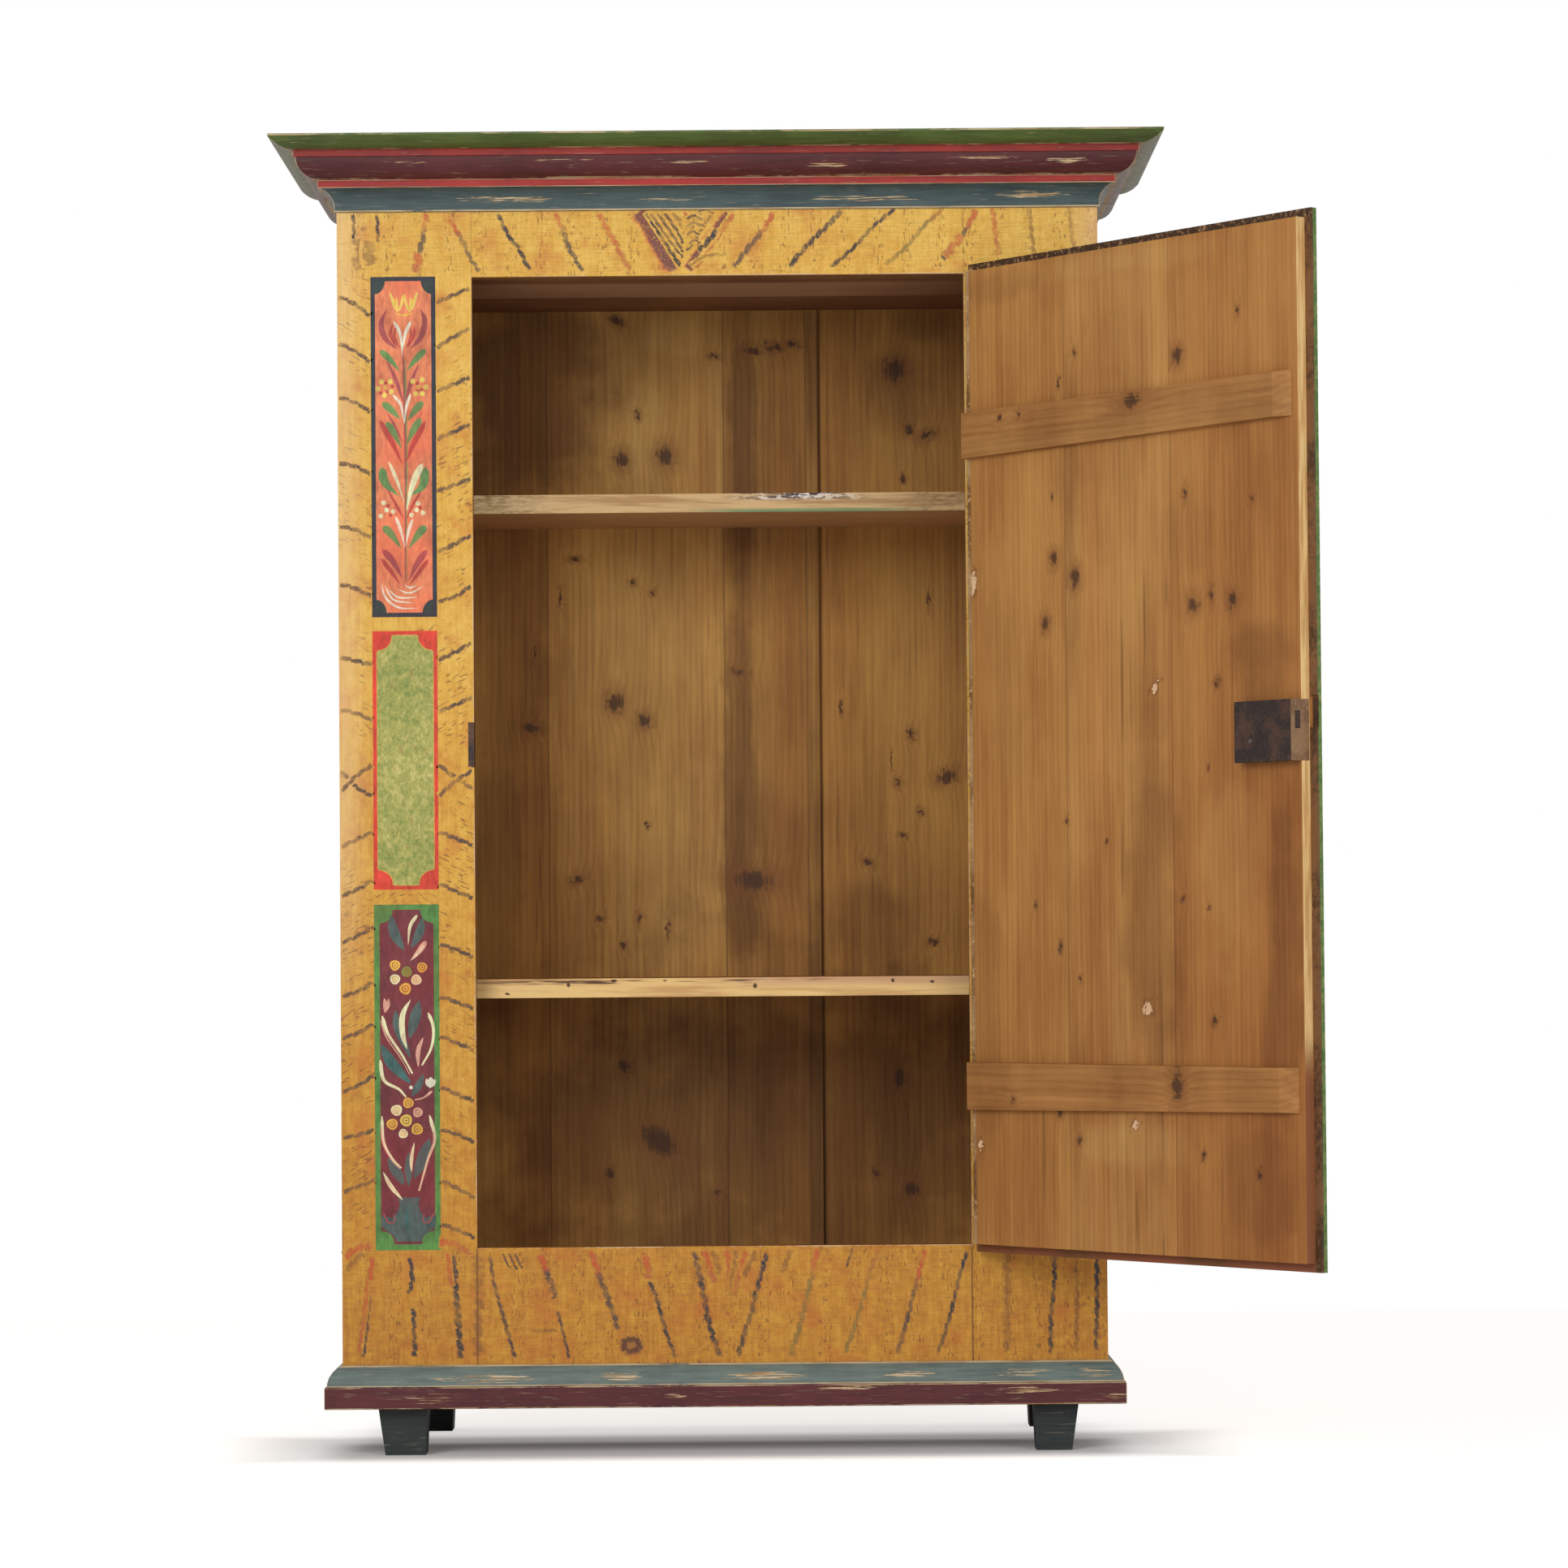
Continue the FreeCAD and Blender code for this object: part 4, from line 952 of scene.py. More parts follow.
@dataclass(frozen=True)
class Metal:
    """Forged iron or worn steel: dark scale, rust in the hollows, and bright where it is rubbed."""

    name: str
    scale: Linear
    rust: Linear
    bright: Linear
    rubbed: float
    roughness: float
    shine: float

    def build(self) -> Material:
        """Makes the material.

        Returns:
            The finished material.
        """
        recipe = Recipe(self.name)
        point = recipe.place()
        pits = recipe.noise(point, 240.0, detail=4.0, roughness=0.7)
        cloud = recipe.noise(point, 40.0, detail=3.0, roughness=0.6)
        scratch = recipe.noise(point, 500.0, stretch=(1.0, 0.12, 1.0))
        colour = recipe.mix(cloud.rise(0.42, 0.66), self.scale, self.rust)
        colour = recipe.mix(pits.rise(0.5, 0.72) * self.rubbed, colour, self.bright)
        metallic = self.shine * (1.0 - 0.6 * cloud.rise(0.42, 0.66))
        roughness = self.roughness + 0.3 * (scratch - 0.5)
        return recipe.finish(colour, roughness, pits, depth=0.0005, metallic=metallic, gloss=0.5)


# Modelling tools

def clear_selection() -> None:
    """Deselects everything."""
    bpy.ops.object.select_all(action="DESELECT")


def pick(objects: Sequence[Piece]) -> None:
    """Selects these objects only and makes the first one active.

    Args:
        objects: What to select.
    """
    clear_selection()
    for thing in objects:
        thing.select_set(True)
    bpy.context.view_layer.objects.active = objects[0]


def settle(piece: Piece) -> None:
    """Moves a piece's place, turn and scale into its mesh."""
    pick([piece])
    bpy.ops.object.transform_apply(location=True, rotation=True, scale=True)


def modify(piece: Piece, kind: str, **settings: Any) -> None:
    """Adds a modifier and applies it.

    Args:
        piece: What it works on.
        kind: Its type.
        settings: Its properties.
    """
    pick([piece])
    modifier = piece.modifiers.new(kind.title(), kind)
    for key, setting in settings.items():
        setattr(modifier, key, setting)
    bpy.ops.object.modifier_apply(modifier=modifier.name)


def merge(pieces: Sequence[Piece], name: str) -> Piece:
    """Joins pieces into one.

    Args:
        pieces: What to join.
        name: The name of the result.

    Returns:
        The joined piece.
    """
    pick(pieces)
    if len(pieces) > 1:
        bpy.ops.object.join()
    joined = bpy.context.view_layer.objects.active
    joined.name = name
    joined.data.name = name
    return joined


def mirrored(piece: Piece, name: str) -> Piece:
    """Copies a piece, with its own mesh, to the other side of the cabinet.

    Args:
        piece: What to copy.
        name: The copy's name.

    Returns:
        The copy.
    """
    copy = piece.copy()
    copy.data = piece.data.copy()
    bpy.context.scene.collection.objects.link(copy)
    copy.name = name
    copy.data.name = name
    copy.data.transform(MIRROR)
    face_outwards(copy)
    return copy


def face_outwards(piece: Piece) -> None:
    """Turns all faces of a closed piece outwards.

    Args:
        piece: The piece.
    """
    pick([piece])
    bpy.ops.object.mode_set(mode="EDIT")
    bpy.ops.mesh.select_all(action="SELECT")
    bpy.ops.mesh.normals_make_consistent(inside=False)
    bpy.ops.object.mode_set(mode="OBJECT")


def curve_through(points: Sequence[Point], steps: int) -> list[Vector]:
    """Points on a smooth line through the given ones.

    Args:
        points: The given points, two or more.
        steps: How many pieces the line gets.

    Returns:
        steps + 1 points.
    """
    given = [Vector(point) for point in points]
    ends = [2 * given[0] - given[1]] + given + [2 * given[-1] - given[-2]]
    line = []
    for number in range(steps + 1):
        place = number / steps * (len(given) - 1)
        span = min(int(place), len(given) - 2)
        t = place - span
        before, start, stop, after = ends[span:span + 4]
        slope = stop - before
        bend = 2 * before - 5 * start + 4 * stop - after
        swing = 3 * start - before - 3 * stop + after
        line.append(0.5 * (2 * start + slope * t + bend * t * t + swing * t ** 3))
    return line


def width_share(shape: Mark, t: float) -> float:
    """How wide a mark is at one place along it.

    Args:
        shape: How its width runs.
        t: The place, as a part of its length.

    Returns:
        A share of its full width.
    """
    if shape is Mark.RIBBON:
        return 1.0
    if shape is Mark.LEAF:
        return max(math.sin(math.pi * t) ** 0.75, 0.04)
    if shape is Mark.DROP:
        return max(math.sin(math.pi * t ** 0.6) ** 0.8, 0.05)
    return max(min(1.0, math.sin(math.pi * min(t, 0.06) / 0.12)), 0.3) * (1.0 - 0.55 * t)


@dataclass
class Canvas:
    """The plane that ornament is painted on, which gives each overlapping coat a place of its own.

    It holds the plane's Y, the painting's middle line, the height of its top, a lean about a point root
    millimetres below the top, whether the painting is mirrored, how deep the first coat sinks in, how far
    the coats lie apart, how thick each is, and how long a bead of a combed stroke is in millimetres.
    """

    plane: float = FRONT
    middle: float = 0.0
    top: float = 0.0
    lean: float = 0.0
    root: float = 0.0
    mirrored: bool = False
    sink: float = 0.00004
    coat: float = 0.000018
    film: float = 0.00005
    bead: float = 15.0
    laid: list[tuple[float, float, float, float, int]] = field(default_factory=list)

    def leaning(self, lean: float, root: float, mirrored: bool) -> "Canvas":
        """The same plane with the painting leaning or mirrored, which shares the coats that are laid."""
        return replace(self, lean=lean, root=root, mirrored=mirrored)

    def at(self, across: float, down: float) -> Vector:
        """A point of the painting.

        Args:
            across: Millimetres to the right of the middle line.
            down: Millimetres below the top.

        Returns:
            The point in the cabinet's frame.
        """
        across = -across if self.mirrored else across
        below = down - self.root
        x = across * math.cos(self.lean) - below * math.sin(self.lean)
        z = across * math.sin(self.lean) + below * math.cos(self.lean) + self.root
        return Vector((self.middle + x * MM, self.plane, self.top - z * MM))

    def lay(self, flat: Piece) -> Piece:
        """Lifts a flat mark over all the marks that it may cover.

        Args:
            flat: The mark, on the plane.

        Returns:
            The same mark.
        """
        xs, zs = [v.co.x for v in flat.data.vertices], [v.co.z for v in flat.data.vertices]
        left, right, low, high = min(xs), max(xs), min(zs), max(zs)
        under = [n for (l, r, b, t, n) in self.laid if l < right and r > left and b < high and t > low]
        number = max(under, default=-1) + 1
        self.laid.append((left, right, low, high, number))
        for vertex in flat.data.vertices:
            vertex.co.y += self.sink - number * self.coat
        return flat

    def ribbon(self, points: Sequence[Point], width: float, shape: Mark, paint: Material,
               steps: int = 12) -> Piece:
        """A brush mark: a strip of a grid laid along a line.

        Args:
            points: The line, in millimetres across and down.
            width: The mark's full width in millimetres.
            shape: How its width runs.
            paint: Its colour.
            steps: How many pieces its length has.

        Returns:
            The flat mark.
        """
        clear_selection()
        bpy.ops.mesh.primitive_grid_add(x_subdivisions=steps, y_subdivisions=2, size=2.0)
        mark = bpy.context.active_object
        line = curve_through(points, steps)
        length = sum((line[number + 1] - line[number]).length for number in range(steps))
        beads = mark.data.attributes.new("beads", "FLOAT", "POINT")
        for vertex in mark.data.vertices:
            t = min(max((vertex.co.x + 1.0) / 2.0, 0.0), 1.0)
            number = round(t * steps)
            beads.data[vertex.index].value = t * length / self.bead
            ahead = line[min(number + 1, steps)] - line[max(number - 1, 0)]
            reach = width / 2 * width_share(shape, t) * vertex.co.y
            side = Vector((-ahead.y, ahead.x)).normalized() * reach
            vertex.co = self.at(line[number].x + side.x, line[number].y + side.y)
        mark.data.materials.append(paint)
        return self.lay(mark)

    def plate(self, outline: Sequence[Point], paint: Material) -> Piece:
        """A flat patch of colour: a filled circle whose rim is moved to an outline.

        Args:
            outline: The rim, in millimetres across and down.
            paint: Its colour.

        Returns:
            The flat patch.
        """
        clear_selection()
        bpy.ops.mesh.primitive_circle_add(vertices=len(outline), radius=1.0, fill_type="NGON")
        patch = bpy.context.active_object
        for vertex, (across, down) in zip(patch.data.vertices, outline):
            vertex.co = self.at(across, down)
        patch.data.materials.append(paint)
        return self.lay(patch)

    def dot(self, across: float, down: float, radius: float, paint: Material) -> Piece:
        """A round dab of colour, a little uneven.

        Args:
            across: Where its middle is, in millimetres to the right.
            down: Where its middle is, in millimetres below the top.
            radius: Its radius in millimetres.
            paint: Its colour.

        Returns:
            The flat dab.
        """
        rim = []
        for step in range(18):
            turn = 2 * math.pi * step / 18
            reach = radius * (1.0 + 0.05 * math.sin(3 * turn + across))
            rim.append((across + reach * math.cos(turn), down + reach * math.sin(turn)))
        return self.plate(rim, paint)

    def thicken(self, flat: Piece) -> Piece:
        """Gives flat marks the thickness of a film of paint, standing proud of the board.

        Args:
            flat: The joined flat marks.

        Returns:
            The same object, closed.
        """
        log.info("%s has %d coats", flat.name, 1 + max(mark[-1] for mark in self.laid))
        settle(flat)
        bpy.ops.object.mode_set(mode="EDIT")
        bpy.ops.mesh.select_all(action="SELECT")
        bpy.ops.mesh.extrude_region_shrink_fatten(TRANSFORM_OT_shrink_fatten={"value": 0.0})
        bpy.ops.transform.translate(value=(0.0, -self.film, 0.0))
        bpy.ops.object.mode_set(mode="OBJECT")
        face_outwards(flat)
        return flat


def rectangle(half: float, top: float, bottom: float) -> list[Point]:
    """The outline of a rectangle about the middle line, in millimetres across and down."""
    return [(-half, top), (half, top), (half, bottom), (-half, bottom)]


def stepped(half: float, top: float, bottom: float, step: float, bite: float) -> list[Point]:
    """A rectangle whose corners are cut by a small step and a quarter round.

    Args:
        half: Half its width.
        top: Where it starts, down from the top.
        bottom: Where it ends.
        step: The length of the straight steps.
        bite: The radius of the quarter rounds.

    Returns:
        The outline.
    """
    points: list[Point] = []
    ledge = step * 0.4
    for sx, down, sy, order in ((1, top, 1, 1), (1, bottom, -1, -1), (-1, bottom, -1, 1), (-1, top, 1, -1)):
        corner = [(sx * (half - bite - step), down), (sx * (half - bite), down + sy * ledge)]
        for number in range(7):
            angle = math.pi / 2 * number / 6
            over = half - ledge - bite * math.cos(angle)
            corner.append((sx * over, down + sy * (ledge + bite * math.sin(angle))))
        corner.append((sx * half, down + sy * (bite + step)))
        points += corner[::order]
    return points


# Painted ornament

@dataclass(frozen=True)
class Brush:
    """One mark of the ornament, in millimetres across from the panel's middle and down from its top."""

    hue: Hue
    width: float
    points: tuple[Point, ...]
    shape: Mark
    order: int


@dataclass(frozen=True)
class Dab:
    """One round dab of the ornament."""

    hue: Hue
    radius: float
    across: float
    down: float
    order: int


def marks(hue: Hue, shape: Mark, order: int, *rows: Row) -> list[Brush]:
    """Marks of one colour and shape.

    Args:
        hue: Their colour.
        shape: Their shape.
        order: When they are painted, from 2 to 5.
        rows: The width of each mark and its points.

    Returns:
        The marks.
    """
    return [Brush(hue, width, tuple(points), shape, order) for width, *points in rows]


def dabs(hue: Hue, radius: float, order: int, *places: Point) -> list[Dab]:
    """Round dabs of one colour and size, at these places."""
    return [Dab(hue, radius, across, down, order) for across, down in places]


TULIP_SPRAY: tuple[Brush, ...] = (
    *marks(Hue.PURPLE, Mark.LINE, 2, (3, (0, 100), (2, 250), (1, 420))),
    *marks(Hue.LEAF_GREEN, Mark.LINE, 2, (2.2, (2, 112), (4, 240), (3, 330), (3, 418))),
    *marks(Hue.GOLD, Mark.LEAF, 2, (7, (-13, 30), (-10, 39), (-7, 47)), (7, (15, 30), (12, 39), (9, 47))),
    *marks(Hue.PURPLE, Mark.LEAF, 2, (3, (-24, 185), (-12, 205), (-1, 230)),
           (3, (26, 186), (14, 206), (4, 228))),
    *marks(Hue.DARK_RED, Mark.LEAF, 2, (4, (-24, 290), (-12, 312), (0, 334)),
           (4, (26, 292), (13, 312), (3, 334))),
    *marks(Hue.YELLOW, Mark.DROP, 3, (4, (-18, 21), (-14, 33), (-11, 43), (-6, 48)),
           (4, (20, 21), (16, 33), (13, 43), (8, 48)), (3.8, (1, 23), (-1, 33), (-4, 43), (-8, 49)),
           (3.8, (1, 23), (3, 33), (6, 43), (10, 49))),
    *marks(Hue.YELLOW, Mark.LEAF, 3, (2.2, (-9, 28), (-8, 36), (-8, 45)),
           (2.2, (11, 28), (10, 36), (10, 45))),
    *marks(Hue.GOLD, Mark.LEAF, 3, (3, (-12, 50), (1, 53), (14, 50))),
    *marks(Hue.PURPLE, Mark.LEAF, 3, (8, (-23, 46), (-30, 64), (-25, 84), (-8, 100)),
           (8, (24, 44), (30, 62), (24, 84), (10, 99))),
    *marks(Hue.DARK_RED, Mark.LEAF, 3, (5, (-14, 64), (-17, 80), (-8, 98)),
           (5, (16, 66), (14, 82), (6, 98))),
    *marks(Hue.LEAF_GREEN, Mark.DROP, 3, (9, (-32, 101), (-19, 113), (-5, 130)),
           (9, (31, 100), (18, 113), (5, 129))),
    *marks(Hue.PURPLE, Mark.LEAF, 3, (5.5, (-22, 116), (-10, 143), (0, 174)),
           (5.5, (21, 120), (9, 150), (3, 174))),
    *marks(Hue.DARK_RED, Mark.LEAF, 3, (3.4, (-9, 66), (-12, 82), (-4, 99)),
           (3.4, (11, 68), (10, 84), (4, 98))),
    *marks(Hue.LEAF_GREEN, Mark.DROP, 3, (10, (-29, 173), (-16, 184), (-5, 196)),
           (10, (27, 172), (16, 184), (6, 198)), (10, (-24, 200), (-14, 214), (-3, 236)),
           (10, (24, 195), (13, 212), (5, 230))),
    *marks(Hue.DARK_RED, Mark.DROP, 3, (8, (-33, 197), (-17, 226), (-2, 258)),
           (8, (30, 199), (14, 229), (3, 256))),
    *marks(Hue.LEAF_GREEN, Mark.DROP, 3, (12, (-30, 262), (-26, 283), (-8, 301)),
           (12, (30, 262), (26, 287), (10, 301)), (11, (-29, 343), (-18, 354), (-4, 374)),
           (11, (30, 343), (20, 354), (6, 374))),
    *marks(Hue.PURPLE, Mark.DROP, 3, (9, (-30, 375), (-16, 391), (-3, 414)),
           (9, (31, 376), (18, 394), (6, 418))),
    *marks(Hue.DARK_RED, Mark.DROP, 3, (6, (-32, 387), (-18, 406), (-5, 424)),
           (6, (33, 389), (19, 408), (6, 425))),
    *marks(Hue.WHITE, Mark.DROP, 4, (4.6, (-13, 61), (-4, 79), (-1, 110)),
           (4.6, (11, 61), (3, 79), (-1, 103)), (4.2, (-15, 162), (-4, 176), (1, 202)),
           (4.2, (10, 161), (4, 179), (1, 202))),
    *marks(Hue.CREAM, Mark.DROP, 4, (5, (-21, 254), (-10, 279), (0, 310)),
           (9.5, (26, 257), (13, 283), (3, 322))),
    *marks(Hue.WHITE, Mark.DROP, 4, (4.6, (-12, 329), (-5, 348), (1, 373)),
           (4.6, (12, 333), (6, 350), (2, 371))),
    *marks(Hue.WHITE, Mark.LEAF, 4, (2.8, (-32, 421), (-26, 441), (-8, 455), (18, 456)),
           (2.6, (-27, 424), (-15, 444), (12, 449)), (2.4, (-22, 430), (-8, 441), (18, 441)),
           (2.2, (-9, 430), (7, 435), (26, 426)), (2.2, (0, 424), (8, 428), (16, 424))),
)
TULIP_DABS: tuple[Dab, ...] = (
    *dabs(Hue.YELLOW, 3.6, 3, (-30, 144), (-18, 144), (-35, 154), (-26, 163), (-17, 158), (13, 144),
          (26, 142), (31, 152), (17, 161), (26, 161)),
    *dabs(Hue.GOLD, 3, 4, (-25, 152), (21, 152)),
    *dabs(Hue.DARK_RED, 2.6, 2, (-24, 146), (-15, 151), (-21, 158), (-31, 160), (19, 147), (25, 156),
          (19, 158), (-22, 315), (-19, 328), (22, 318)),
    *dabs(Hue.CREAM, 3.3, 3, (-28, 311), (-15, 323), (-32, 329), (-24, 321), (19, 312), (26, 325), (10, 328),
          (17, 321)),
)
ROSE_SPRAY: tuple[Brush, ...] = (
    *marks(Hue.SLATE, Mark.LEAF, 3, (14, (-21, 14), (-17, 38), (-3, 63)), (12, (22, 18), (18, 38), (6, 60)),
           (12, (-16, 144), (-12, 170), (5, 210)), (15, (17, 132), (11, 155), (3, 183))),
    *marks(Hue.TEAL, Mark.LEAF, 3, (15, (-36, 190), (-21, 217), (5, 245))),
    *marks(Hue.SLATE, Mark.LEAF, 3, (10, (22, 232), (15, 248), (6, 262)),
           (17, (30, 320), (21, 346), (9, 374)), (14, (-27, 346), (-16, 364), (-5, 383)),
           (11, (2, 338), (1, 360), (1, 385))),
    *marks(Hue.CREAM, Mark.DROP, 4, (5, (15, 14), (5, 30), (2, 56))),
    *marks(Hue.PINK, Mark.DROP, 4, (8, (27, 50), (17, 64), (5, 77))),
    *marks(Hue.CREAM, Mark.LINE, 4, (5, (-34, 152), (-26, 177), (-8, 204), (7, 231))),
    *marks(Hue.CREAM, Mark.LEAF, 4, (8, (5, 130), (-6, 151), (-6, 178), (0, 198))),
    *marks(Hue.CREAM, Mark.LINE, 4, (5, (29, 148), (36, 169), (33, 196), (20, 220))),
    *marks(Hue.PINK, Mark.LEAF, 4, (6.5, (22, 182), (15, 200), (15, 222))),
    *marks(Hue.CREAM, Mark.LINE, 4, (5.5, (-37, 212), (-32, 240), (-12, 252), (-2, 263))),
    *marks(Hue.PINK, Mark.LINE, 4, (3.6, (34, 255), (22, 264), (10, 267))),
    *marks(Hue.CREAM, Mark.LINE, 4, (4.6, (-35, 289), (-33, 324), (-21, 347), (-9, 360)),
           (5, (30, 288), (37, 320), (28, 347), (15, 391))),
    *marks(Hue.CREAM, Mark.LEAF, 4, (5, (9, 325), (5, 347), (5, 365)),
           (6, (-34, 365), (-23, 385), (-7, 404))),
    *marks(Hue.PURPLE, Mark.LINE, 4, (2.6, (-34, 420), (-27, 434), (-18, 432), (-20, 422)),
           (2.6, (36, 420), (28, 434), (20, 432), (22, 422))),
    *marks(Hue.TEAL, Mark.LEAF, 4, (5, (1, 408), (-2, 430), (1, 454))),
    *marks(Hue.CREAM, Mark.DROP, 5, (3, (24, 55), (16, 66), (7, 76))),
    *marks(Hue.PINK, Mark.LEAF, 5, (7, (-31, 128), (-29, 138), (-30, 148)),
           (5, (-25, 128), (-26, 138), (-30, 147))),
    *marks(Hue.WHITE, Mark.LEAF, 5, (9, (32, 236), (32, 243), (31, 251)),
           (6, (26, 238), (28, 245), (31, 250)), (6, (38, 239), (35, 245), (32, 250))),
    *marks(Hue.PINK, Mark.LINE, 5, (2, (-36, 158), (-28, 182), (-10, 208), (3, 232)),
           (2, (-36, 300), (-34, 326), (-22, 349), (-11, 361)),
           (2.2, (35, 310), (35, 326), (28, 349), (15, 389))),
)
ROSE_DABS: tuple[Dab, ...] = (
    Dab(Hue.GOLD, 7.2, -16, 83, 4), Dab(Hue.GOLD, 7, 21, 86, 4), Dab(Hue.CREAM, 7, -16, 102, 4),
    Dab(Hue.CREAM, 7.2, 13, 103, 4), Dab(Hue.GOLD, 8, -2, 115, 4), Dab(Hue.OLIVE, 7.2, 0, 92, 4),
    Dab(Hue.GOLD, 7.2, 1, 271, 4), Dab(Hue.CREAM, 7.6, -15, 281, 4), Dab(Hue.PINK, 6.6, 14, 284, 4),
    Dab(Hue.GOLD, 7.6, -21, 300, 4), Dab(Hue.GOLD, 7.8, 13, 307, 4), Dab(Hue.CREAM, 6.4, -6, 313, 4),
    Dab(Hue.YELLOW, 8.2, -2, 295, 5), Dab(Hue.WHITE, 2.6, 5, 250, 4),
)
PETAL_RADIUS = 5.0
VASE: tuple[Point, ...] = (
    (-13, 400), (17, 400), (14, 409), (17, 420), (24, 428), (38, 424), (38, 440), (22, 452), (18, 460),
    (-16, 460), (-20, 452), (-36, 440), (-36, 424), (-22, 428), (-14, 420), (-11, 409),
)


class Ornament:
    """Builds painted panels, with one material for each pot of paint."""

    def __init__(self) -> None:
        """Mixes the pots."""
        self.pots = {hue: PotPaint(hue).build() for hue in Hue}
        self.mottled = MottledField().build()

    def spray(self, canvas: Canvas, brushes: Iterable[Brush], dabs: Iterable[Dab]) -> list[Piece]:
        """Paints marks and dabs, the first orders first.

        Args:
            canvas: Where they go.
            brushes: The marks.
            dabs: The dabs.

        Returns:
            The flat pieces.
        """
        flat = []
        for mark in sorted([*brushes, *dabs], key=lambda one: one.order):
            if isinstance(mark, Brush):
                flat.append(canvas.ribbon(mark.points, mark.width, mark.shape, self.pots[mark.hue]))
                continue
            flat.append(canvas.dot(mark.across, mark.down, mark.radius, self.pots[mark.hue]))
            if mark.radius > PETAL_RADIUS:
                ring = Hue.GOLD if mark.hue is Hue.CREAM else Hue.BROWN_GOLD
                for share, hue in ((0.62, ring), (0.46, mark.hue), (0.16, ring)):
                    flat.append(canvas.dot(mark.across, mark.down, mark.radius * share, self.pots[hue]))
        return flat

    def tulip_panel(self, canvas: Canvas, half: float, length: float) -> list[Piece]:
        """The coral panel with a navy border, dark quarter rounds in its corners and a spray of tulips.

        Args:
            canvas: Where it goes.
            half: Half its width, in millimetres.
            length: Its height, in millimetres.

        Returns:
            The flat pieces.
        """
        border, inset, wide, tall, steps = 6.0, 5.0, 15.0, 19.0, 8
        flat = [canvas.plate(rectangle(half, 0, length), self.pots[Hue.NAVY]),
                canvas.plate(rectangle(half - border, border, length - border), self.pots[Hue.CORAL])]
        for sx in (-1, 1):
            for down, sy in ((inset, 1), (length - inset, -1)):
                rim = [(sx * (half - inset), down)]
                for step in range(steps + 1):
                    angle = math.pi / 2 * step / steps
                    across = half - inset - wide * math.cos(angle)
                    rim.append((sx * across, down + sy * tall * math.sin(angle)))
                flat.append(canvas.plate(rim, self.pots[Hue.DARK_GREEN]))
        return flat + self.spray(canvas, TULIP_SPRAY, TULIP_DABS)

    def plain_panel(self, canvas: Canvas, half: float, length: float) -> list[Piece]:
        """The mottled green panel with a red border and stepped corners.

        Args:
            canvas: Where it goes.
            half: Half its width, in millimetres.
            length: Its height, in millimetres.

        Returns:
            The flat pieces.
        """
        return [canvas.plate(rectangle(half, 0, length), self.pots[Hue.RED]),
                canvas.plate(stepped(half - 5.3, 5.3, length - 5.3, 5.0, 19.0), self.pots[Hue.GOLD]),
                canvas.plate(stepped(half - 6.0, 6.0, length - 6.0, 5.0, 19.0), self.mottled)]

    def rose_panel(self, canvas: Canvas, half: float, length: float) -> list[Piece]:
        """The burgundy panel with a green border, stepped corners and a vase of flowers.

        Args:
            canvas: Where it goes.
            half: Half its width, in millimetres.
            length: Its height, in millimetres.

        Returns:
            The flat pieces.
        """
        flat = [canvas.plate(rectangle(half, 0, length), self.pots[Hue.FRAME_GREEN]),
                canvas.plate(stepped(half - 7.5, 7.0, length - 8.0, 5.0, 16.0), self.pots[Hue.BURGUNDY]),
                canvas.plate(VASE, self.pots[Hue.SLATE])]
        return flat + self.spray(canvas, ROSE_SPRAY, ROSE_DABS)

    def bouquet(self, canvas: Canvas, half: float, length: float, ground: Hue) -> list[Piece]:
        """A broad door panel: three leaning sprays in one vase.

        Args:
            canvas: Where it goes.
            half: Half its width, in millimetres.
            length: Its height, in millimetres.
            ground: The colour behind the flowers.

        Returns:
            The flat pieces.
        """
        edge, spray, dabs = ((Hue.NAVY, TULIP_SPRAY, TULIP_DABS) if ground is Hue.CORAL
                             else (Hue.FRAME_GREEN, ROSE_SPRAY, ROSE_DABS))
        flat = [canvas.plate(rectangle(half, 0, length), self.pots[edge]),
                canvas.plate(stepped(half - 10.0, 10.0, length - 10.0, 9.0, 26.0), self.pots[ground])]
        for lean, mirrored in ((-0.4, False), (0.4, True), (0.0, False)):
            flat += self.spray(canvas.leaning(lean, 440.0, mirrored), spray, dabs)
        wide = tuple((1.25 * across, down) for across, down in VASE)
        return flat + [canvas.plate(wide, self.pots[Hue.SLATE])]


@dataclass
class StilePanels:
    """The three painted panels on each stile of the front."""

    ornament: Ornament
    middle: float = -STILE_MIDDLE
    half: float = 44.5
    tops: tuple[float, float, float] = (1.614, 1.127, 0.752)
    lengths: tuple[float, float, float] = (468.0, 354.5, 472.0)

    def build(self) -> None:
        """Makes the panels of the left stile and their mirror images on the right one."""
        makers = (self.ornament.tulip_panel, self.ornament.plain_panel, self.ornament.rose_panel)
        names = ("upper_panel", "middle_panel", "lower_panel")
        pieces = []
        for maker, name, top, length in zip(makers, names, self.tops, self.lengths):
            canvas = Canvas(FRONT, self.middle, top)
            left = canvas.thicken(merge(maker(canvas, self.half, length), name + "_left"))
            pieces += [left, mirrored(left, name + "_right")]
        for piece in pieces:
            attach(piece, "carcass")
            log.info("painted %s", piece.name)


class Comb(Enum):
    """The kinds of combed stroke."""

    SLATE = "slate"
    RED_SLATE = "red_slate"
    RED = "red"
    BROWN = "brown"
    GREENISH = "greenish"
    THIN = "thin"
    BAND = "band"


SLATE, RED_SLATE, RED, BROWN, GREENISH, THIN, BAND = Comb


@dataclass(frozen=True)
class Stroke:
    """One combed stroke on the front: its kind, visible width and line, in millimetres across and up."""

    kind: Comb
    width: float
    points: tuple[Point, ...]


def strokes(*rows: Row) -> tuple[Stroke, ...]:
    """Strokes from rows that hold the kind, the width and the points of each."""
    return tuple(Stroke(kind, width, tuple(points)) for kind, width, *points in rows)


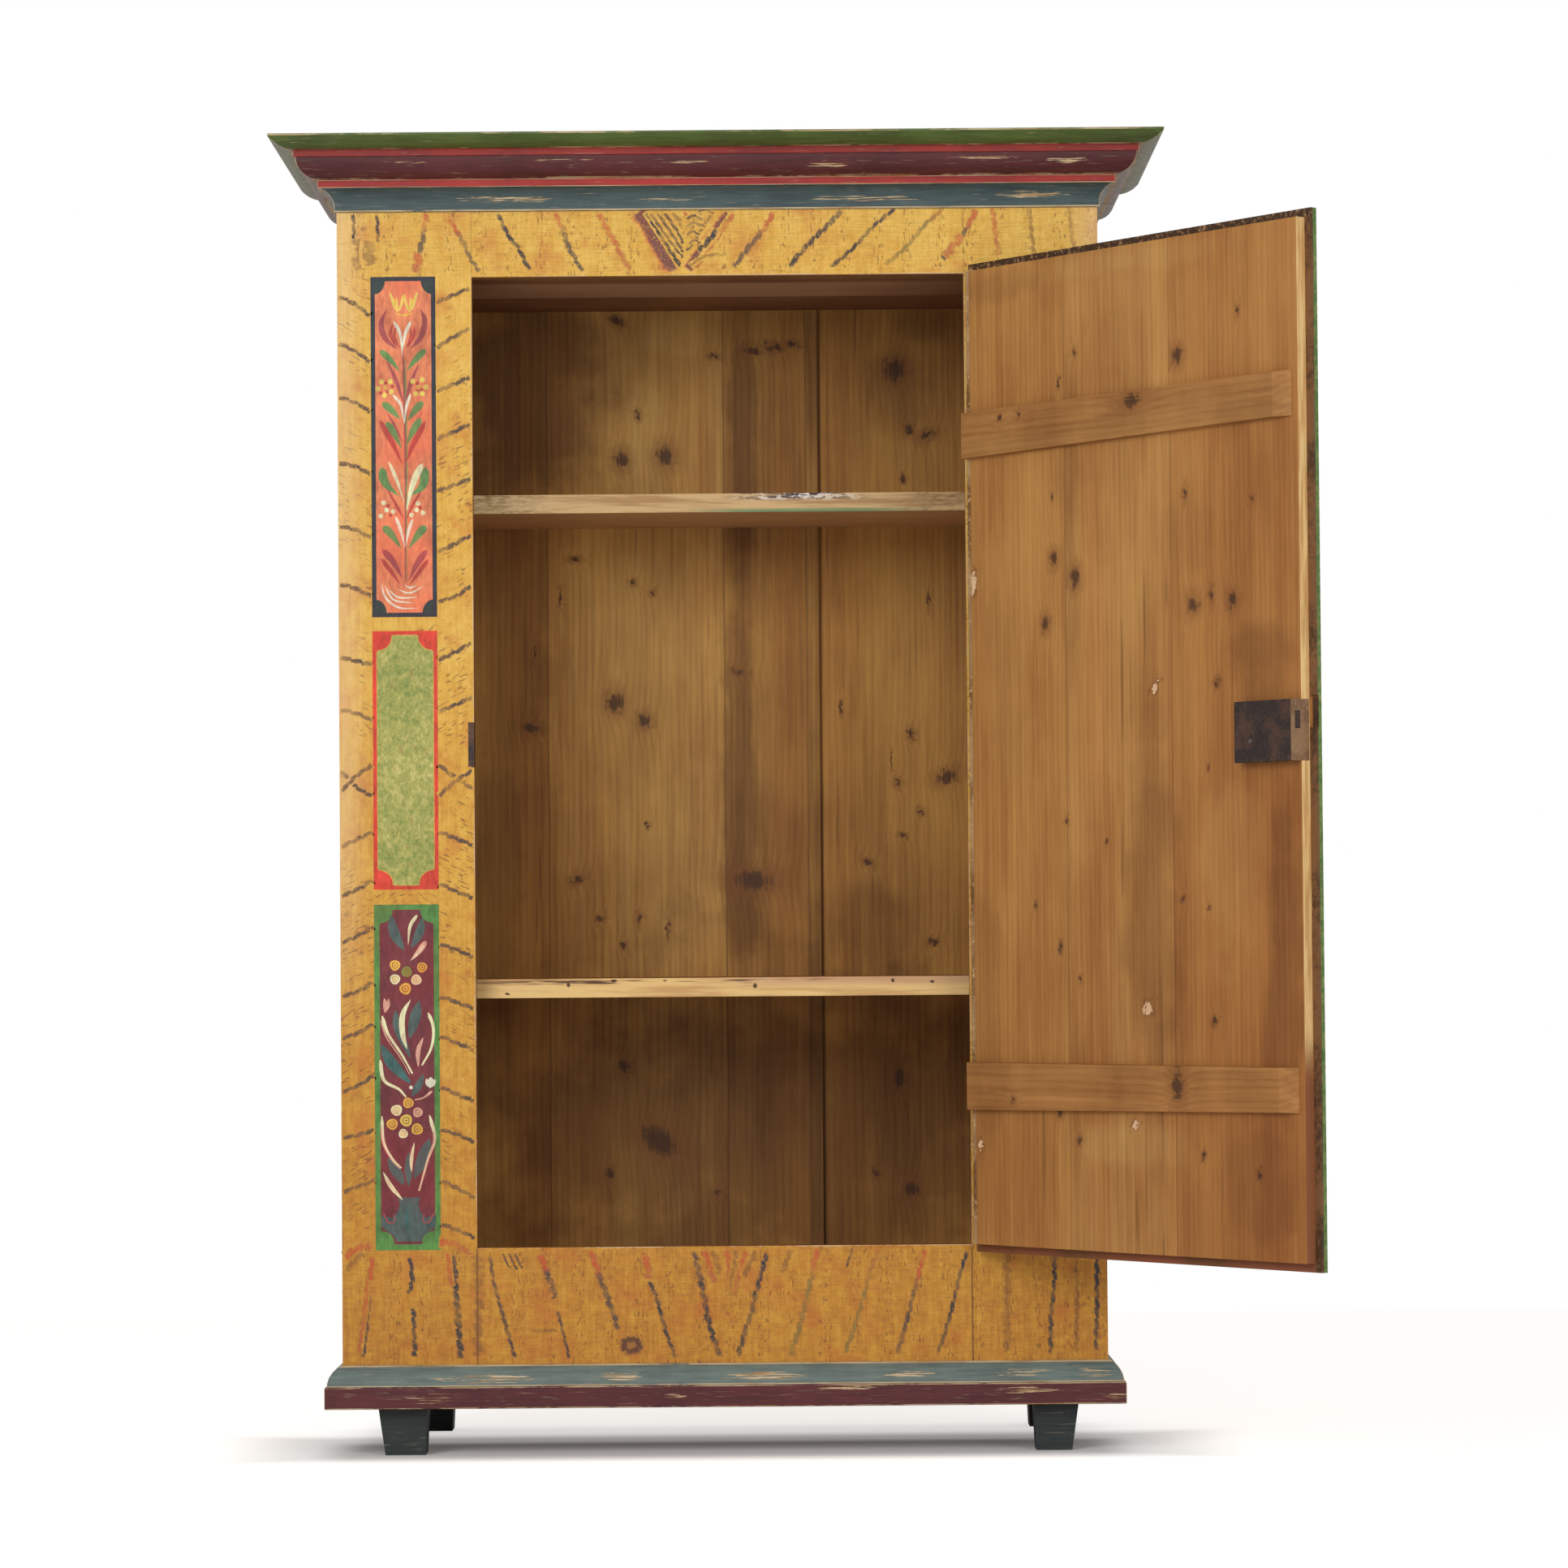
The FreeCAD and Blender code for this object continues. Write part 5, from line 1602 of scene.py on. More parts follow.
def level_strokes(across: Triple, *heights: Triple) -> list[Stroke]:
    """Thin strokes one over another, from the same three places across and the heights of each there."""
    return [Stroke(THIN, 5.4, tuple(zip(across, ups))) for ups in heights]


TOP_RAIL: tuple[Stroke, ...] = strokes(
    (SLATE, 4.5, (-500, 1701), (-499, 1672), (-501, 1640)),
    (SLATE, 4.5, (-467, 1701), (-466, 1672), (-468, 1645)),
    (BROWN, 14, (-493, 1668), (-490, 1648), (-494, 1624)),
    (BROWN, 14, (-475, 1664), (-478, 1646), (-474, 1630)),
    (RED_SLATE, 7, (-399, 1702), (-405, 1664), (-418, 1620)),
    (RED, 11, (-408, 1646), (-412, 1632), (-414, 1619)),
    (RED_SLATE, 6, (-368, 1694), (-352, 1668), (-340, 1640), (-326, 1620)),
    (SLATE, 5.5, (-301, 1701), (-288, 1672), (-272, 1650), (-257, 1621)),
    (RED_SLATE, 6, (-222, 1701), (-212, 1676), (-202, 1650), (-184, 1618)),
    (RED, 7, (-163, 1700), (-148, 1674), (-136, 1650), (-119, 1617)),
    (RED, 9, (-118, 1701), (-102, 1676), (-86, 1650), (-68, 1624)),
    (BAND, 19, (-109, 1702), (-93, 1676), (-78, 1650), (-58, 1618)),
    (SLATE, 5, (-98, 1701), (-82, 1676), (-66, 1650), (-50, 1624)),
    (THIN, 4, (-92, 1700), (-70, 1668), (-46, 1636)),
    (THIN, 4, (-82, 1700), (-62, 1670), (-46, 1644)),
    (THIN, 4, (-72, 1700), (-56, 1676), (-46, 1656)),
    (BROWN, 5, (-60, 1700), (-50, 1684), (-44, 1670)),
    (RED, 5, (-44, 1702), (-40, 1688), (-43, 1674)),
    (THIN, 4, (8, 1700), (-16, 1668), (-42, 1634)),
    (THIN, 4, (-6, 1700), (-24, 1672), (-42, 1646)),
    (BROWN, 6, (-20, 1700), (-32, 1684), (-40, 1666)),
    (BAND, 11, (16, 1700), (-2, 1676), (-20, 1650), (-42, 1620)),
    (RED, 6, (24, 1699), (6, 1674), (-12, 1648), (-30, 1622)),
    (SLATE, 7, (0, 1676), (-12, 1660), (-26, 1646)),
    (BROWN, 4, (-38, 1626), (-14, 1640), (14, 1642)),
    (THIN, 3.6, (-42, 1691), (-31, 1695), (-19, 1689)),
    (THIN, 3.6, (-42, 1680), (-31, 1685), (-17, 1680)),
    (THIN, 3.4, (-42, 1668), (-34, 1673), (-23, 1669)),
    (THIN, 3.4, (-26, 1701), (-15, 1703), (-4, 1697)),
    (THIN, 3.2, (-39, 1656), (-31, 1661), (-22, 1657)),
    (RED_SLATE, 7, (78, 1700), (62, 1672), (44, 1652), (22, 1622)),
    (SLATE, 6.5, (172, 1702), (150, 1678), (126, 1656), (98, 1622)),
    (SLATE, 5, (246, 1704), (214, 1678), (188, 1650), (154, 1622)),
    (GREENISH, 5.5, (312, 1704), (286, 1680), (262, 1652), (230, 1624)),
    (RED_SLATE, 7, (358, 1701), (344, 1676), (328, 1652), (308, 1632)),
    (RED, 10, (338, 1664), (324, 1650), (312, 1636)),
    (RED, 6, (378, 1704), (382, 1672), (386, 1636)),
    (BROWN, 5.5, (428, 1704), (432, 1672), (437, 1622)),
    (BROWN, 5, (484, 1704), (487, 1672), (491, 1630)),
)
BOTTOM_RAIL: tuple[Stroke, ...] = strokes(
    (RED, 9, (-519, 270), (-500, 282), (-480, 288)),
    (BROWN, 7, (-517, 252), (-505, 266), (-493, 276)),
    (RED_SLATE, 6, (-481, 274), (-486, 220), (-489, 180), (-494, 132)),
    (RED, 5, (-488, 240), (-492, 200), (-500, 140)),
    (SLATE, 6, (-430, 271), (-427, 240), (-432, 220)),
    (SLATE, 6.5, (-426, 202), (-425, 170), (-424, 134)),
    (SLATE, 8, (-371, 276), (-367, 220), (-364, 180), (-361, 130)),
    (RED, 5, (-378, 276), (-376, 252), (-373, 230)),
    (RED, 8, (-390, 291), (-368, 288), (-344, 270)),
    (BROWN, 12, (-338, 274), (-336, 220), (-338, 132)),
    (THIN, 5, (-322, 274), (-312, 220), (-300, 180), (-287, 130)),
    (THIN, 3, (-302, 275), (-298, 262), (-292, 254)),
    (THIN, 3, (-294, 275), (-289, 262), (-283, 252)),
    (THIN, 3, (-286, 275), (-281, 262), (-276, 254)),
    (RED_SLATE, 8, (-252, 274), (-240, 240), (-231, 212)),
    (SLATE, 4.5, (-228, 196), (-222, 170), (-213, 130)),
    (BROWN, 4, (-264, 170), (-248, 168), (-230, 170)),
    (RED_SLATE, 7.5, (-183, 279), (-170, 240), (-158, 206), (-145, 167)),
    (RED, 9, (-110, 275), (-106, 258), (-104, 238)),
    (SLATE, 5.5, (-104, 236), (-92, 208), (-82, 170), (-68, 129)),
    (SLATE, 7.5, (-43, 277), (-32, 230), (-22, 180), (-8, 130)),
    (RED, 8, (-28, 277), (-20, 256), (-16, 232)),
    (BROWN, 7, (-16, 277), (-10, 260), (-6, 244)),
    (RED, 7, (2, 277), (6, 252), (8, 222)),
    (BROWN, 6, (16, 277), (12, 250), (8, 214)),
    (RED, 7, (30, 276), (22, 250), (12, 216)),
    (SLATE, 6.5, (58, 274), (46, 230), (32, 180), (16, 130)),
    (BROWN, 7, (44, 276), (34, 258), (26, 240)),
    (BROWN, 7, (92, 276), (84, 262), (78, 244)),
    (GREENISH, 7, (128, 278), (116, 230), (104, 180), (88, 130)),
    (RED, 8, (129, 278), (123, 262), (119, 246)),
    (THIN, 3, (175, 278), (170, 264), (166, 252)),
    (GREENISH, 6, (210, 279), (194, 230), (180, 180), (162, 132)),
    (RED_SLATE, 6, (275, 278), (262, 230), (248, 180), (234, 132)),
    (SLATE, 5.5, (332, 274), (318, 230), (306, 180), (289, 132)),
    (BROWN, 8, (386, 272), (386, 200), (384, 132)),
    (SLATE, 6, (450, 272), (450, 230), (445, 180), (444, 130)),
    (BROWN, 6, (480, 268), (481, 200), (479, 132)),
    (SLATE, 6, (508, 272), (508, 200), (506, 134)),
)
LEFT_STILE: tuple[Stroke, ...] = (
    *level_strokes((-521, -498, -477), (1588, 1577, 1560), (1523, 1512, 1496), (1449, 1441, 1427),
        (1359, 1353, 1342), (1271, 1266, 1255), (1192, 1185, 1174), (1092, 1086, 1080), (1020, 1014, 1004),
        (832, 842, 852), (764, 774, 786), (700, 710, 723), (627, 634, 646), (569, 578, 589),
        (497, 506, 519), (434, 438, 445), (360, 368, 376)),
    *level_strokes((-387, -366, -340), (1578, 1587, 1598), (1516, 1528, 1543), (1456, 1464, 1476),
        (1390, 1399, 1411), (1319, 1325, 1337), (1235, 1244, 1258), (1086, 1096, 1110), (1016, 1024, 1036),
        (852, 843, 832), (780, 770, 760)),
    *level_strokes((-387, -362, -340), (1166, 1174, 1188)),
    *level_strokes((-521, -500, -477), (936, 914, 900), (908, 928, 944)),
    *level_strokes((-387, -364, -340), (944, 926, 910), (900, 920, 936), (698, 690, 679), (626, 618, 609),
        (572, 562, 552), (502, 492, 482), (445, 437, 426), (375, 364, 350), (316, 306, 296)),
)


@dataclass
class CombedStrokes:
    """The combed strokes over the ochre ground of the front, the sides and the door's outer face."""

    margin: float = 2.1
    edges: tuple[float, float, float] = (-0.5222, -0.3386, 1.6134)

    def paints(self, turned: bool) -> dict[Comb, Material]:
        """Mixes the strokes' colours.

        Args:
            turned: Whether they are for the open door.

        Returns:
            A material for each kind of stroke.
        """
        ending = "_door" if turned else ""
        slate, red = rgb(60, 58, 62), rgb(200, 82, 48)
        rows = (
            (SLATE, slate, rgb(70, 62, 54), 0.35, 1.0, 0.5),
            (RED_SLATE, red, slate, 0.3, 0.85, 0.5),
            (RED, red, rgb(184, 88, 54), 0.6, 0.75, 0.35),
            (BROWN, rgb(128, 84, 48), rgb(116, 74, 46), 0.5, 0.6, 0.7),
            (GREENISH, rgb(172, 104, 54), rgb(118, 108, 58), 0.25, 0.75, 0.4),
            (THIN, rgb(104, 78, 58), rgb(74, 62, 56), 0.5, 0.95, 0.45),
            (BAND, rgb(126, 64, 62), rgb(120, 66, 66), 0.5, 0.95, 0.3, 0.0, 0.0, 0.0,
             rgb(212, 100, 54)),
        )
        named = [(kind, f"comb_{kind.value}{ending}", look) for kind, *look in rows]
        return {kind: CombStroke(name, turned, *look).build() for kind, name, look in named}

    def trim(self, piece: Piece, stile: bool) -> None:
        """Keeps flat strokes of the front within the left stile, or over the opening on the top rail.

        Args:
            piece: The strokes of one board.
            stile: Whether they are the stile's.
        """
        outer, inner, under = self.edges
        for vertex in piece.data.vertices:
            if stile:
                vertex.co.x = min(max(vertex.co.x, outer), inner)
            else:
                vertex.co.z = max(vertex.co.z, under)

    def lay(self, rows: Iterable[Stroke], paints: dict[Comb, Material], canvas: Canvas, name: str) -> Piece:
        """Lays strokes on a plane.

        Args:
            rows: The strokes.
            paints: Their materials.
            canvas: The plane.
            name: The piece's name.

        Returns:
            One piece.
        """
        flat = []
        for row in rows:
            points = [(across, -up) for across, up in row.points]
            flat.append(canvas.ribbon(points, row.width * self.margin, Mark.RIBBON, paints[row.kind], 10))
        piece = merge(flat, name)
        if name.startswith(("left_stile", "top_rail")):
            self.trim(piece, name.startswith("left_stile"))
        return canvas.thicken(piece)

    def side_strokes(self) -> tuple[Stroke, ...]:
        """The herringbone of strokes on a side, about its middle.

        Returns:
            The strokes.
        """
        kinds = (SLATE, RED_SLATE, THIN, GREENISH, SLATE, RED)
        rows = []
        for number in range(17):
            up = 150 + 96 * number
            drift = 9.0 * math.sin(2.3 * number)
            for side in (-1, 1):
                kind = kinds[(number + (side > 0)) % len(kinds)]
                points = tuple((side * across, up + rise) for across, rise in
                               ((14, drift), (96, 44 - drift), (196, 72 + drift)))
                if points[-1][1] < 1700:
                    rows.append(Stroke(kind, 5.0 + 0.8 * math.sin(number + side), points))
        return tuple(rows)

    def build(self) -> None:
        """Makes the strokes of the front and the sides."""
        paints = self.paints(False)
        pieces = [self.lay(TOP_RAIL, paints, Canvas(), "top_rail_strokes"),
                  self.lay(BOTTOM_RAIL, paints, Canvas(), "bottom_rail_strokes"),
                  self.lay(LEFT_STILE, paints, Canvas(), "left_stile_strokes")]
        pieces.append(mirrored(pieces[2], "right_stile_strokes"))
        left = self.lay(self.side_strokes(), paints, Canvas(0.0), "left_side_strokes")
        aside = Matrix.Translation((-CARCASS_HALF, 0.0, 0.0)) @ Matrix.Rotation(-math.pi / 2, 4, "Z")
        left.data.transform(aside)
        pieces += [left, mirrored(left, "right_side_strokes")]
        for piece in pieces:
            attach(piece, "carcass")
            log.info("combed %s", piece.name)


# Sub-assemblies

def starting(nodes: dict[str, Piece], *starts: str) -> list[str]:
    """The names of the CAD nodes that start in one of these ways."""
    return [name for name in nodes if name.startswith(starts)]


def dress(nodes: dict[str, Piece], names: Iterable[str], finish: Material) -> None:
    """Gives CAD nodes a finish.

    Args:
        nodes: The CAD nodes by name.
        names: Which of them.
        finish: Their new material.
    """
    for name in names:
        materials = nodes[name].data.materials
        if not materials:
            materials.append(finish)
        for slot in range(len(materials)):
            materials[slot] = finish
        log.info("dressed %s in %s", name, finish.name)


BACK_KNOTS: Knots = {
    Lie.ROUND: ((-122, 1464, 5), (-146, 1399, 11), (-82, 1404, 13), (253, 1528, 18), (272, 1439, 6),
        (263, 1368, 4), (-158, 1046, 13), (-115, 1020, 10), (-130, 1220, 4), (-103, 1206, 4),
        (271, 997, 6), (252, 926, 5), (283, 885, 4), (-111, 867, 3), (-147, 694, 4), (-170, 364, 7),
        (-13, 336, 5), (216, 363, 5), (266, 339, 12), (-148, 520, 8)),
    Lie.WIDE: ((-10, 1548, 8), (-215, 1255, 8), (-278, 1010, 13), (24, 1089, 10), (41, 787, 32),
        (259, 850, 6), (44, 1557, 12), (76, 1561, 13), (104, 1566, 9)),
    Lie.TALL: ((-125, 733, 4), (-82, 725, 2.5), (250, 500, 8)),
    Lie.FALLING: ((-151, 1602, 12), (208, 812, 9), (-98, 412, 34)),
    Lie.RISING: ((298, 1432, 12), (322, 935, 15), (301, 697, 8), (-214, 790, 10), (-180, 733, 7)),
    Lie.STREAK: ((-236, 1198, 1.6), (-272, 1122, 1.8), (298, 1194, 1.8), (170, 1037, 1.6), (243, 960, 1.6),
        (-84, 713, 1.6)),
}
DOOR_KNOTS: Knots = {
    Lie.ROUND: ((-103, 1456, 10), (106, 1478, 4), (153, 1206, 9), (108, 1178, 11), (171, 1120, 9),
        (-130, 1129, 11), (-206, 1132, 10), (-245, 1258, 4), (-174, 1025, 5), (-157, 917, 3),
        (-164, 591, 5), (110, 430, 6), (-249, 395, 5), (129, 855, 4), (48, 826, 2.5),
        (197, 742, 3.5), (105, 643, 4), (-104, 747, 3.5), (-156, 737, 3), (150, 468, 6), (-139, 416, 4)),
    Lie.TALL: ((-165, 1137, 5), (-116, 1275, 4), (139, 1440, 3), (154, 1290, 2.5), (-222, 1502, 3),
        (145, 686, 3.5)),
}
DOOR_STAINS: tuple[StainAndShade, ...] = (
    StainAndShade(-200, 790, 60, 150, -0.5), StainAndShade(-120, 1230, 60, 60, 0.12), StainAndShade(250, 1080, 60, 170, -0.16),
    StainAndShade(-250, 1060, 60, 60, 0.35), StainAndShade(-40, 740, 60, 220, 0.3), StainAndShade(120, 1240, 22, 260, 0.2),
    StainAndShade(-300, 640, 40, 220, 0.35), StainAndShade(0, 424, 100, 28, -0.4), StainAndShade(280, 1580, 80, 24, 0.2),
    StainAndShade(0, 1590, 200, 14, -0.2), StainAndShade(-250, 400, 80, 90, 0.25), StainAndShade(300, 560, 30, 200, 0.2),
)
DOOR_CHIPS: Knots = {
    Lie.ROUND: ((318, 420, 8),),
    Lie.WIDE: ((-6, 454, 11),),
    Lie.TALL: ((326, 1182, 10),),
    Lie.FALLING: ((-52, 1024, 13),),
    Lie.RISING: ((-33, 606, 15),),
}
BATTEN_KNOTS: Knots = {
    Lie.ROUND: ((252, 1402, 4), (212, 1404, 3.5), (236, 482, 4)),
    Lie.WIDE: ((-22, 1402, 22), (-4, 1348, 9)),
    Lie.TALL: ((-101, 508, 11),),
}
# The back's patches: partly real staining and partly painted shade and painted light, darker in the upper
# left and over the whole lower compartment, and lighter in the middle of the upper one.
BACK_STAINS_AND_SHADE: tuple[StainAndShade, ...] = (
    StainAndShade(-290, 1500, 130, 190, 0.6), StainAndShade(-170, 1540, 60, 70, 0.3),
    StainAndShade(-60, 1575, 50, 30, -0.35), StainAndShade(-110, 1430, 30, 90, -0.3), StainAndShade(-8, 1450, 14, 160, -0.3),
    StainAndShade(30, 1440, 22, 150, 0.4), StainAndShade(250, 1510, 60, 60, 0.35), StainAndShade(0, 430, 480, 230, 0.55),
    StainAndShade(290, 1590, 60, 40, 0.4), StainAndShade(24, 950, 26, 420, 0.45), StainAndShade(-300, 1150, 60, 220, 0.3),
    StainAndShade(-120, 1150, 120, 160, -0.2), StainAndShade(-60, 800, 60, 160, -0.2), StainAndShade(-330, 800, 40, 200, 0.3),
    StainAndShade(260, 1150, 50, 180, -0.16), StainAndShade(200, 740, 70, 90, 0.35), StainAndShade(-230, 420, 160, 160, 0.5),
    StainAndShade(30, 400, 40, 200, 0.5), StainAndShade(290, 380, 80, 160, 0.4), StainAndShade(-40, 330, 300, 50, 0.4),
)
SHELF_HOLES: Knots = {
    Lie.ROUND: ((-213, 640, 2.6), (44, 637, 3.2), (234, 643, 2.6)),
    Lie.WIDE: ((-297, 628, 3.5), (-150, 645, 5), (-80, 645, 3), (288, 641, 3.4)),
}


@dataclass
class Carcass:
    """The case: painted outside, raw pine inside, with its mouldings, shelves and feet."""

    nodes: dict[str, Piece]

    def shelves(self) -> None:
        """Dresses the two shelves, whose front edges are paler and rubbed."""
        for name, front in (("upper_shelf", -0.074), ("lower_shelf", -0.175)):
            recipe = Recipe(name + "_pine")
            board = Pine(name, rgb(186, 136, 78), rgb(120, 76, 40), Grain.ACROSS)
            wood, dull, fibres = board.surface(recipe)
            point = recipe.place()
            across, deep, up = recipe.axes(point)
            smear = recipe.noise(point, 90.0, detail=3.0, roughness=0.7, stretch=(0.06, 1.0, 1.0))
            slow = recipe.noise(point, 5.0)
            fine = recipe.noise(point, 260.0, detail=3.0, roughness=0.7, stretch=(0.3, 1.0, 1.0))
            low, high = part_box(name)
            under = recipe.mix(smear.rise(0.3, 0.7), rgb(200, 152, 104), rgb(226, 180, 128))
            wood = recipe.mix((up - low.z).fall(0.0003, 0.0008) * 0.85, wood, under)
            if name == "upper_shelf":
                pale = recipe.mix(smear.rise(0.4, 0.64), rgb(214, 178, 126), rgb(180, 140, 94))
                bleached = across.fall(-0.34, -0.2) * fine.rise(0.4, 0.6)
                pale = recipe.mix(bleached, pale, rgb(240, 214, 160))
                green = (up - low.z).fall(0.002, 0.0065) * across.near(0.12, 0.2)
                pale = recipe.mix(green * 0.9, pale, rgb(104, 140, 98))
                smudge = across.near(0.11, 0.12) * (high.z - up).fall(0.004, 0.012)
                spots = recipe.mix(fine.rise(0.5, 0.56), rgb(76, 62, 66), rgb(232, 222, 214))
                pale = recipe.mix(smudge * smear.rise(0.36, 0.46), pale, spots)
                handled = across.rise(0.2, 0.34) * fine.rise(0.5, 0.6) * 0.5
                pale = recipe.mix(handled, pale, rgb(120, 86, 52))
            else:
                pale = recipe.mix(smear.rise(0.42, 0.66), rgb(236, 198, 132), rgb(210, 164, 106))
                rosy = (high.z - up).fall(0.006, 0.016) * across.rise(-0.05, 0.1)
                pale = recipe.mix(rosy * 0.7, pale, rgb(204, 158, 122))
                cracks = (high.z - up).near(0.005, 0.004) * smear.rise(0.5, 0.6) * across.near(-0.12, 0.3)
                pale = recipe.mix(cracks, pale, rgb(92, 64, 48))
                holes = board.spot_distance(recipe, point, SHELF_HOLES, 0.004, fine - 0.5)
                pale = recipe.mix(holes.fall(0.7, 1.1) * 0.9, pale, rgb(56, 34, 26))
            dirt = (0.7 * smear + 0.45 * slow).rise(0.72, 0.8)
            pale = recipe.mix(dirt * 0.6, pale, rgb(124, 84, 58))
            edge = (deep - front).fall(0.0006, 0.0014)
            colour = recipe.mix(edge, wood, pale)
            dress(self.nodes, [name], recipe.finish(colour, dull, fibres, depth=0.0002, gloss=0.3))

    def ceiling(self) -> None:
        """Dresses the ceiling board, whose underside is painted reddish and lighter in front as painted
        light, with a dark line of painted shade behind that band, and is darker behind.
        """
        recipe = Recipe("ceiling_pine")
        board = Pine("ceiling", rgb(164, 116, 80), rgb(110, 72, 48), Grain.ACROSS, warmth=0.1)
        wood, dull, fibres = board.surface(recipe)
        across, deep, up = recipe.axes(recipe.place())
        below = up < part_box("ceiling_board")[0].z + 0.002
        # Painted light: a lighter reddish band across the underside, from near its front edge to a little
        # behind its middle.
        painted_light_band = deep.rise(-0.14, -0.1) * deep.fall(0.03, 0.06) * across.near(-0.06, 0.5) * below
        wood = recipe.mix(painted_light_band, wood, rgb(150, 116, 90), "SCREEN")
        # Painted shade: a dark line across the underside along the back edge of that lighter band.
        wood = recipe.mix(deep.near(0.05, 0.006) * below * 0.6, wood, rgb(58, 36, 26))
        dress(self.nodes, ["ceiling_board"], recipe.finish(wood, dull, fibres, depth=0.0002, gloss=0.3))

    def build(self) -> None:
        """Dresses the case's nodes."""
        ground = OchreGround()
        inner = Pine("inner_pine", rgb(176, 124, 70), rgb(112, 70, 36), Grain.UP)
        boards = OchreBoards("ochre_boards", ground, inner).build()
        dress(self.nodes, starting(self.nodes, "front_", "left_side", "right_side"), boards)
        dress(self.nodes, ["frame_pegs"], ground.build())
        back = Pine("back_pine", rgb(218, 167, 86), rgb(142, 94, 44), Grain.UP, knots=BACK_KNOTS,
                    joints=(-0.254, 0.002, 0.1215, 0.1415), tones=(0.95, 1.0, 0.92, 0.9, 0.98),
                    joint_depth=0.35, stains_and_shade=BACK_STAINS_AND_SHADE, warmth=0.2)
        dress(self.nodes, starting(self.nodes, "back_board_"), back.build())
        deck = Pine("deck_pine", rgb(172, 118, 66), rgb(104, 62, 34), Grain.ACROSS, warmth=0.5).build()
        dress(self.nodes, [name for name in self.nodes if name.endswith(("floor_board", "_cleat"))], deck)
        self.shelves()
        self.ceiling()
        for start, paint in self.paints().items():
            dress(self.nodes, starting(self.nodes, start), paint.build())

    def paints(self) -> dict[str, BandedPaint]:
        """The paints of the mouldings and feet.

        Returns:
            The paints by the start of their nodes' names.
        """
        green, red = rgb(92, 112, 54), rgb(180, 50, 46)
        burgundy, blue = rgb(98, 42, 46), rgb(78, 96, 98)
        return {
            "crown_": BandedPaint(
                "crown_banded_paint", ((0.0, burgundy), (1.7728, rgb(160, 46, 38)), (1.7822, green)),
                ((1.7455, 0.0012), (1.7824, 0.0008), (1.7985, 0.0022)), 0.45,
                ((-0.46, -0.38, 1.761, 1.769), (-0.26, -0.15, 1.762, 1.77), (-0.08, 0.0, 1.758, 1.766),
                 (0.1, 0.2, 1.752, 1.762), (0.32, 0.42, 1.76, 1.77), (0.44, 0.52, 1.752, 1.77)), 0.75),
            "bed_": BandedPaint(
                "bed_banded_paint", ((0.0, blue), (1.7342, red)),
                ((1.7044, 0.0022), (1.7344, 0.0008), (1.7442, 0.001)), 1.0,
                ((-0.38, -0.2, 1.712, 1.726), (-0.12, -0.02, 1.712, 1.722), (0.1, 0.3, 1.71, 1.724),
                 (0.36, 0.5, 1.712, 1.728)), 0.75),
            "base_ovolo": BandedPaint(
                "ovolo_blue_paint", ((0.0, rgb(122, 138, 132)),), ((0.0962, 0.0018), (0.1224, 0.002)), 0.9,
                ((-0.42, -0.24, 0.094, 0.116), (-0.2, -0.1, 0.098, 0.116), (-0.02, 0.14, 0.096, 0.116),
                 (0.2, 0.3, 0.1, 0.114), (0.36, 0.46, 0.098, 0.117), (0.47, 0.54, 0.096, 0.12)),
                bare=rgb(226, 200, 160)),
            "plinth_": BandedPaint(
                "plinth_burgundy_paint", ((0.0, rgb(104, 46, 50)),),
                ((0.0662, 0.0016), (0.094, 0.0014)), 0.6,
                ((-0.44, -0.36, 0.068, 0.092), (-0.09, -0.05, 0.074, 0.086), (0.1, 0.24, 0.084, 0.096),
                 (0.36, 0.46, 0.076, 0.094), (0.5, 0.56, 0.064, 0.084))),
            "foot_": BandedPaint("foot_dark_paint", ((0.0, rgb(52, 60, 60)),), ((0.002, 0.004),), 0.1),
        }


@dataclass
class Door:
    """The door: raw pine inside with two battens, painted outside; its iron is dressed by Ironwork."""

    nodes: dict[str, Piece]
    ornament: Ornament

    def build(self) -> None:
        """Dresses the door's nodes."""
        wood = Pine("door_inner", rgb(212, 160, 90), rgb(156, 100, 48), Grain.UP, turned=True,
                    joints=(-0.086, 0.128), tones=(0.97, 1.0, 0.98), joint_depth=0.3, knots=DOOR_KNOTS,
                    chips=DOOR_CHIPS, stains_and_shade=DOOR_STAINS, warmth=0.18)
        boards = DoorWood("door_boards", wood, OchreGround(turned=True)).build()
        dress(self.nodes, starting(self.nodes, "door_board_"), boards)
        batten = Pine("batten_pine_wood", rgb(198, 146, 84), rgb(138, 88, 44), Grain.ACROSS,
                      knots=BATTEN_KNOTS, turned=True, warmth=0.2).build()
        dress(self.nodes, starting(self.nodes, "door_batten_"), batten)
        self.paint_outside()

    def paint_outside(self) -> None:
        """Paints two bouquets and combed strokes on the outer face, laid out shut and then turned open."""
        comb = CombedStrokes()
        paints = comb.paints(True)
        rows = []
        for number, up in enumerate((*range(1560, 1079, -60), 980, 915, *range(815, 394, -60))):
            for side in (-1, 1):
                kind = (SLATE, THIN, RED_SLATE)[number % 3]
                line = ((side * 304, up - 22), (side * 270, up), (side * 232, up + 12))
                rows.append(Stroke(kind, 5.0, line))
        pieces = [comb.lay(rows, paints, Canvas(DOOR_FRONT), "door_strokes")]
        bouquets = (("upper_bouquet", 1.545, Hue.CORAL), ("lower_bouquet", 0.86, Hue.BURGUNDY))
        for name, top, ground in bouquets:
            canvas = Canvas(DOOR_FRONT, 0.0, top)
            pieces.append(canvas.thicken(merge(self.ornament.bouquet(canvas, 215.0, 510.0, ground), name)))
        for piece in pieces:
            piece.data.transform(OPENED)
            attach(piece, "door")
            log.info("painted %s", piece.name)


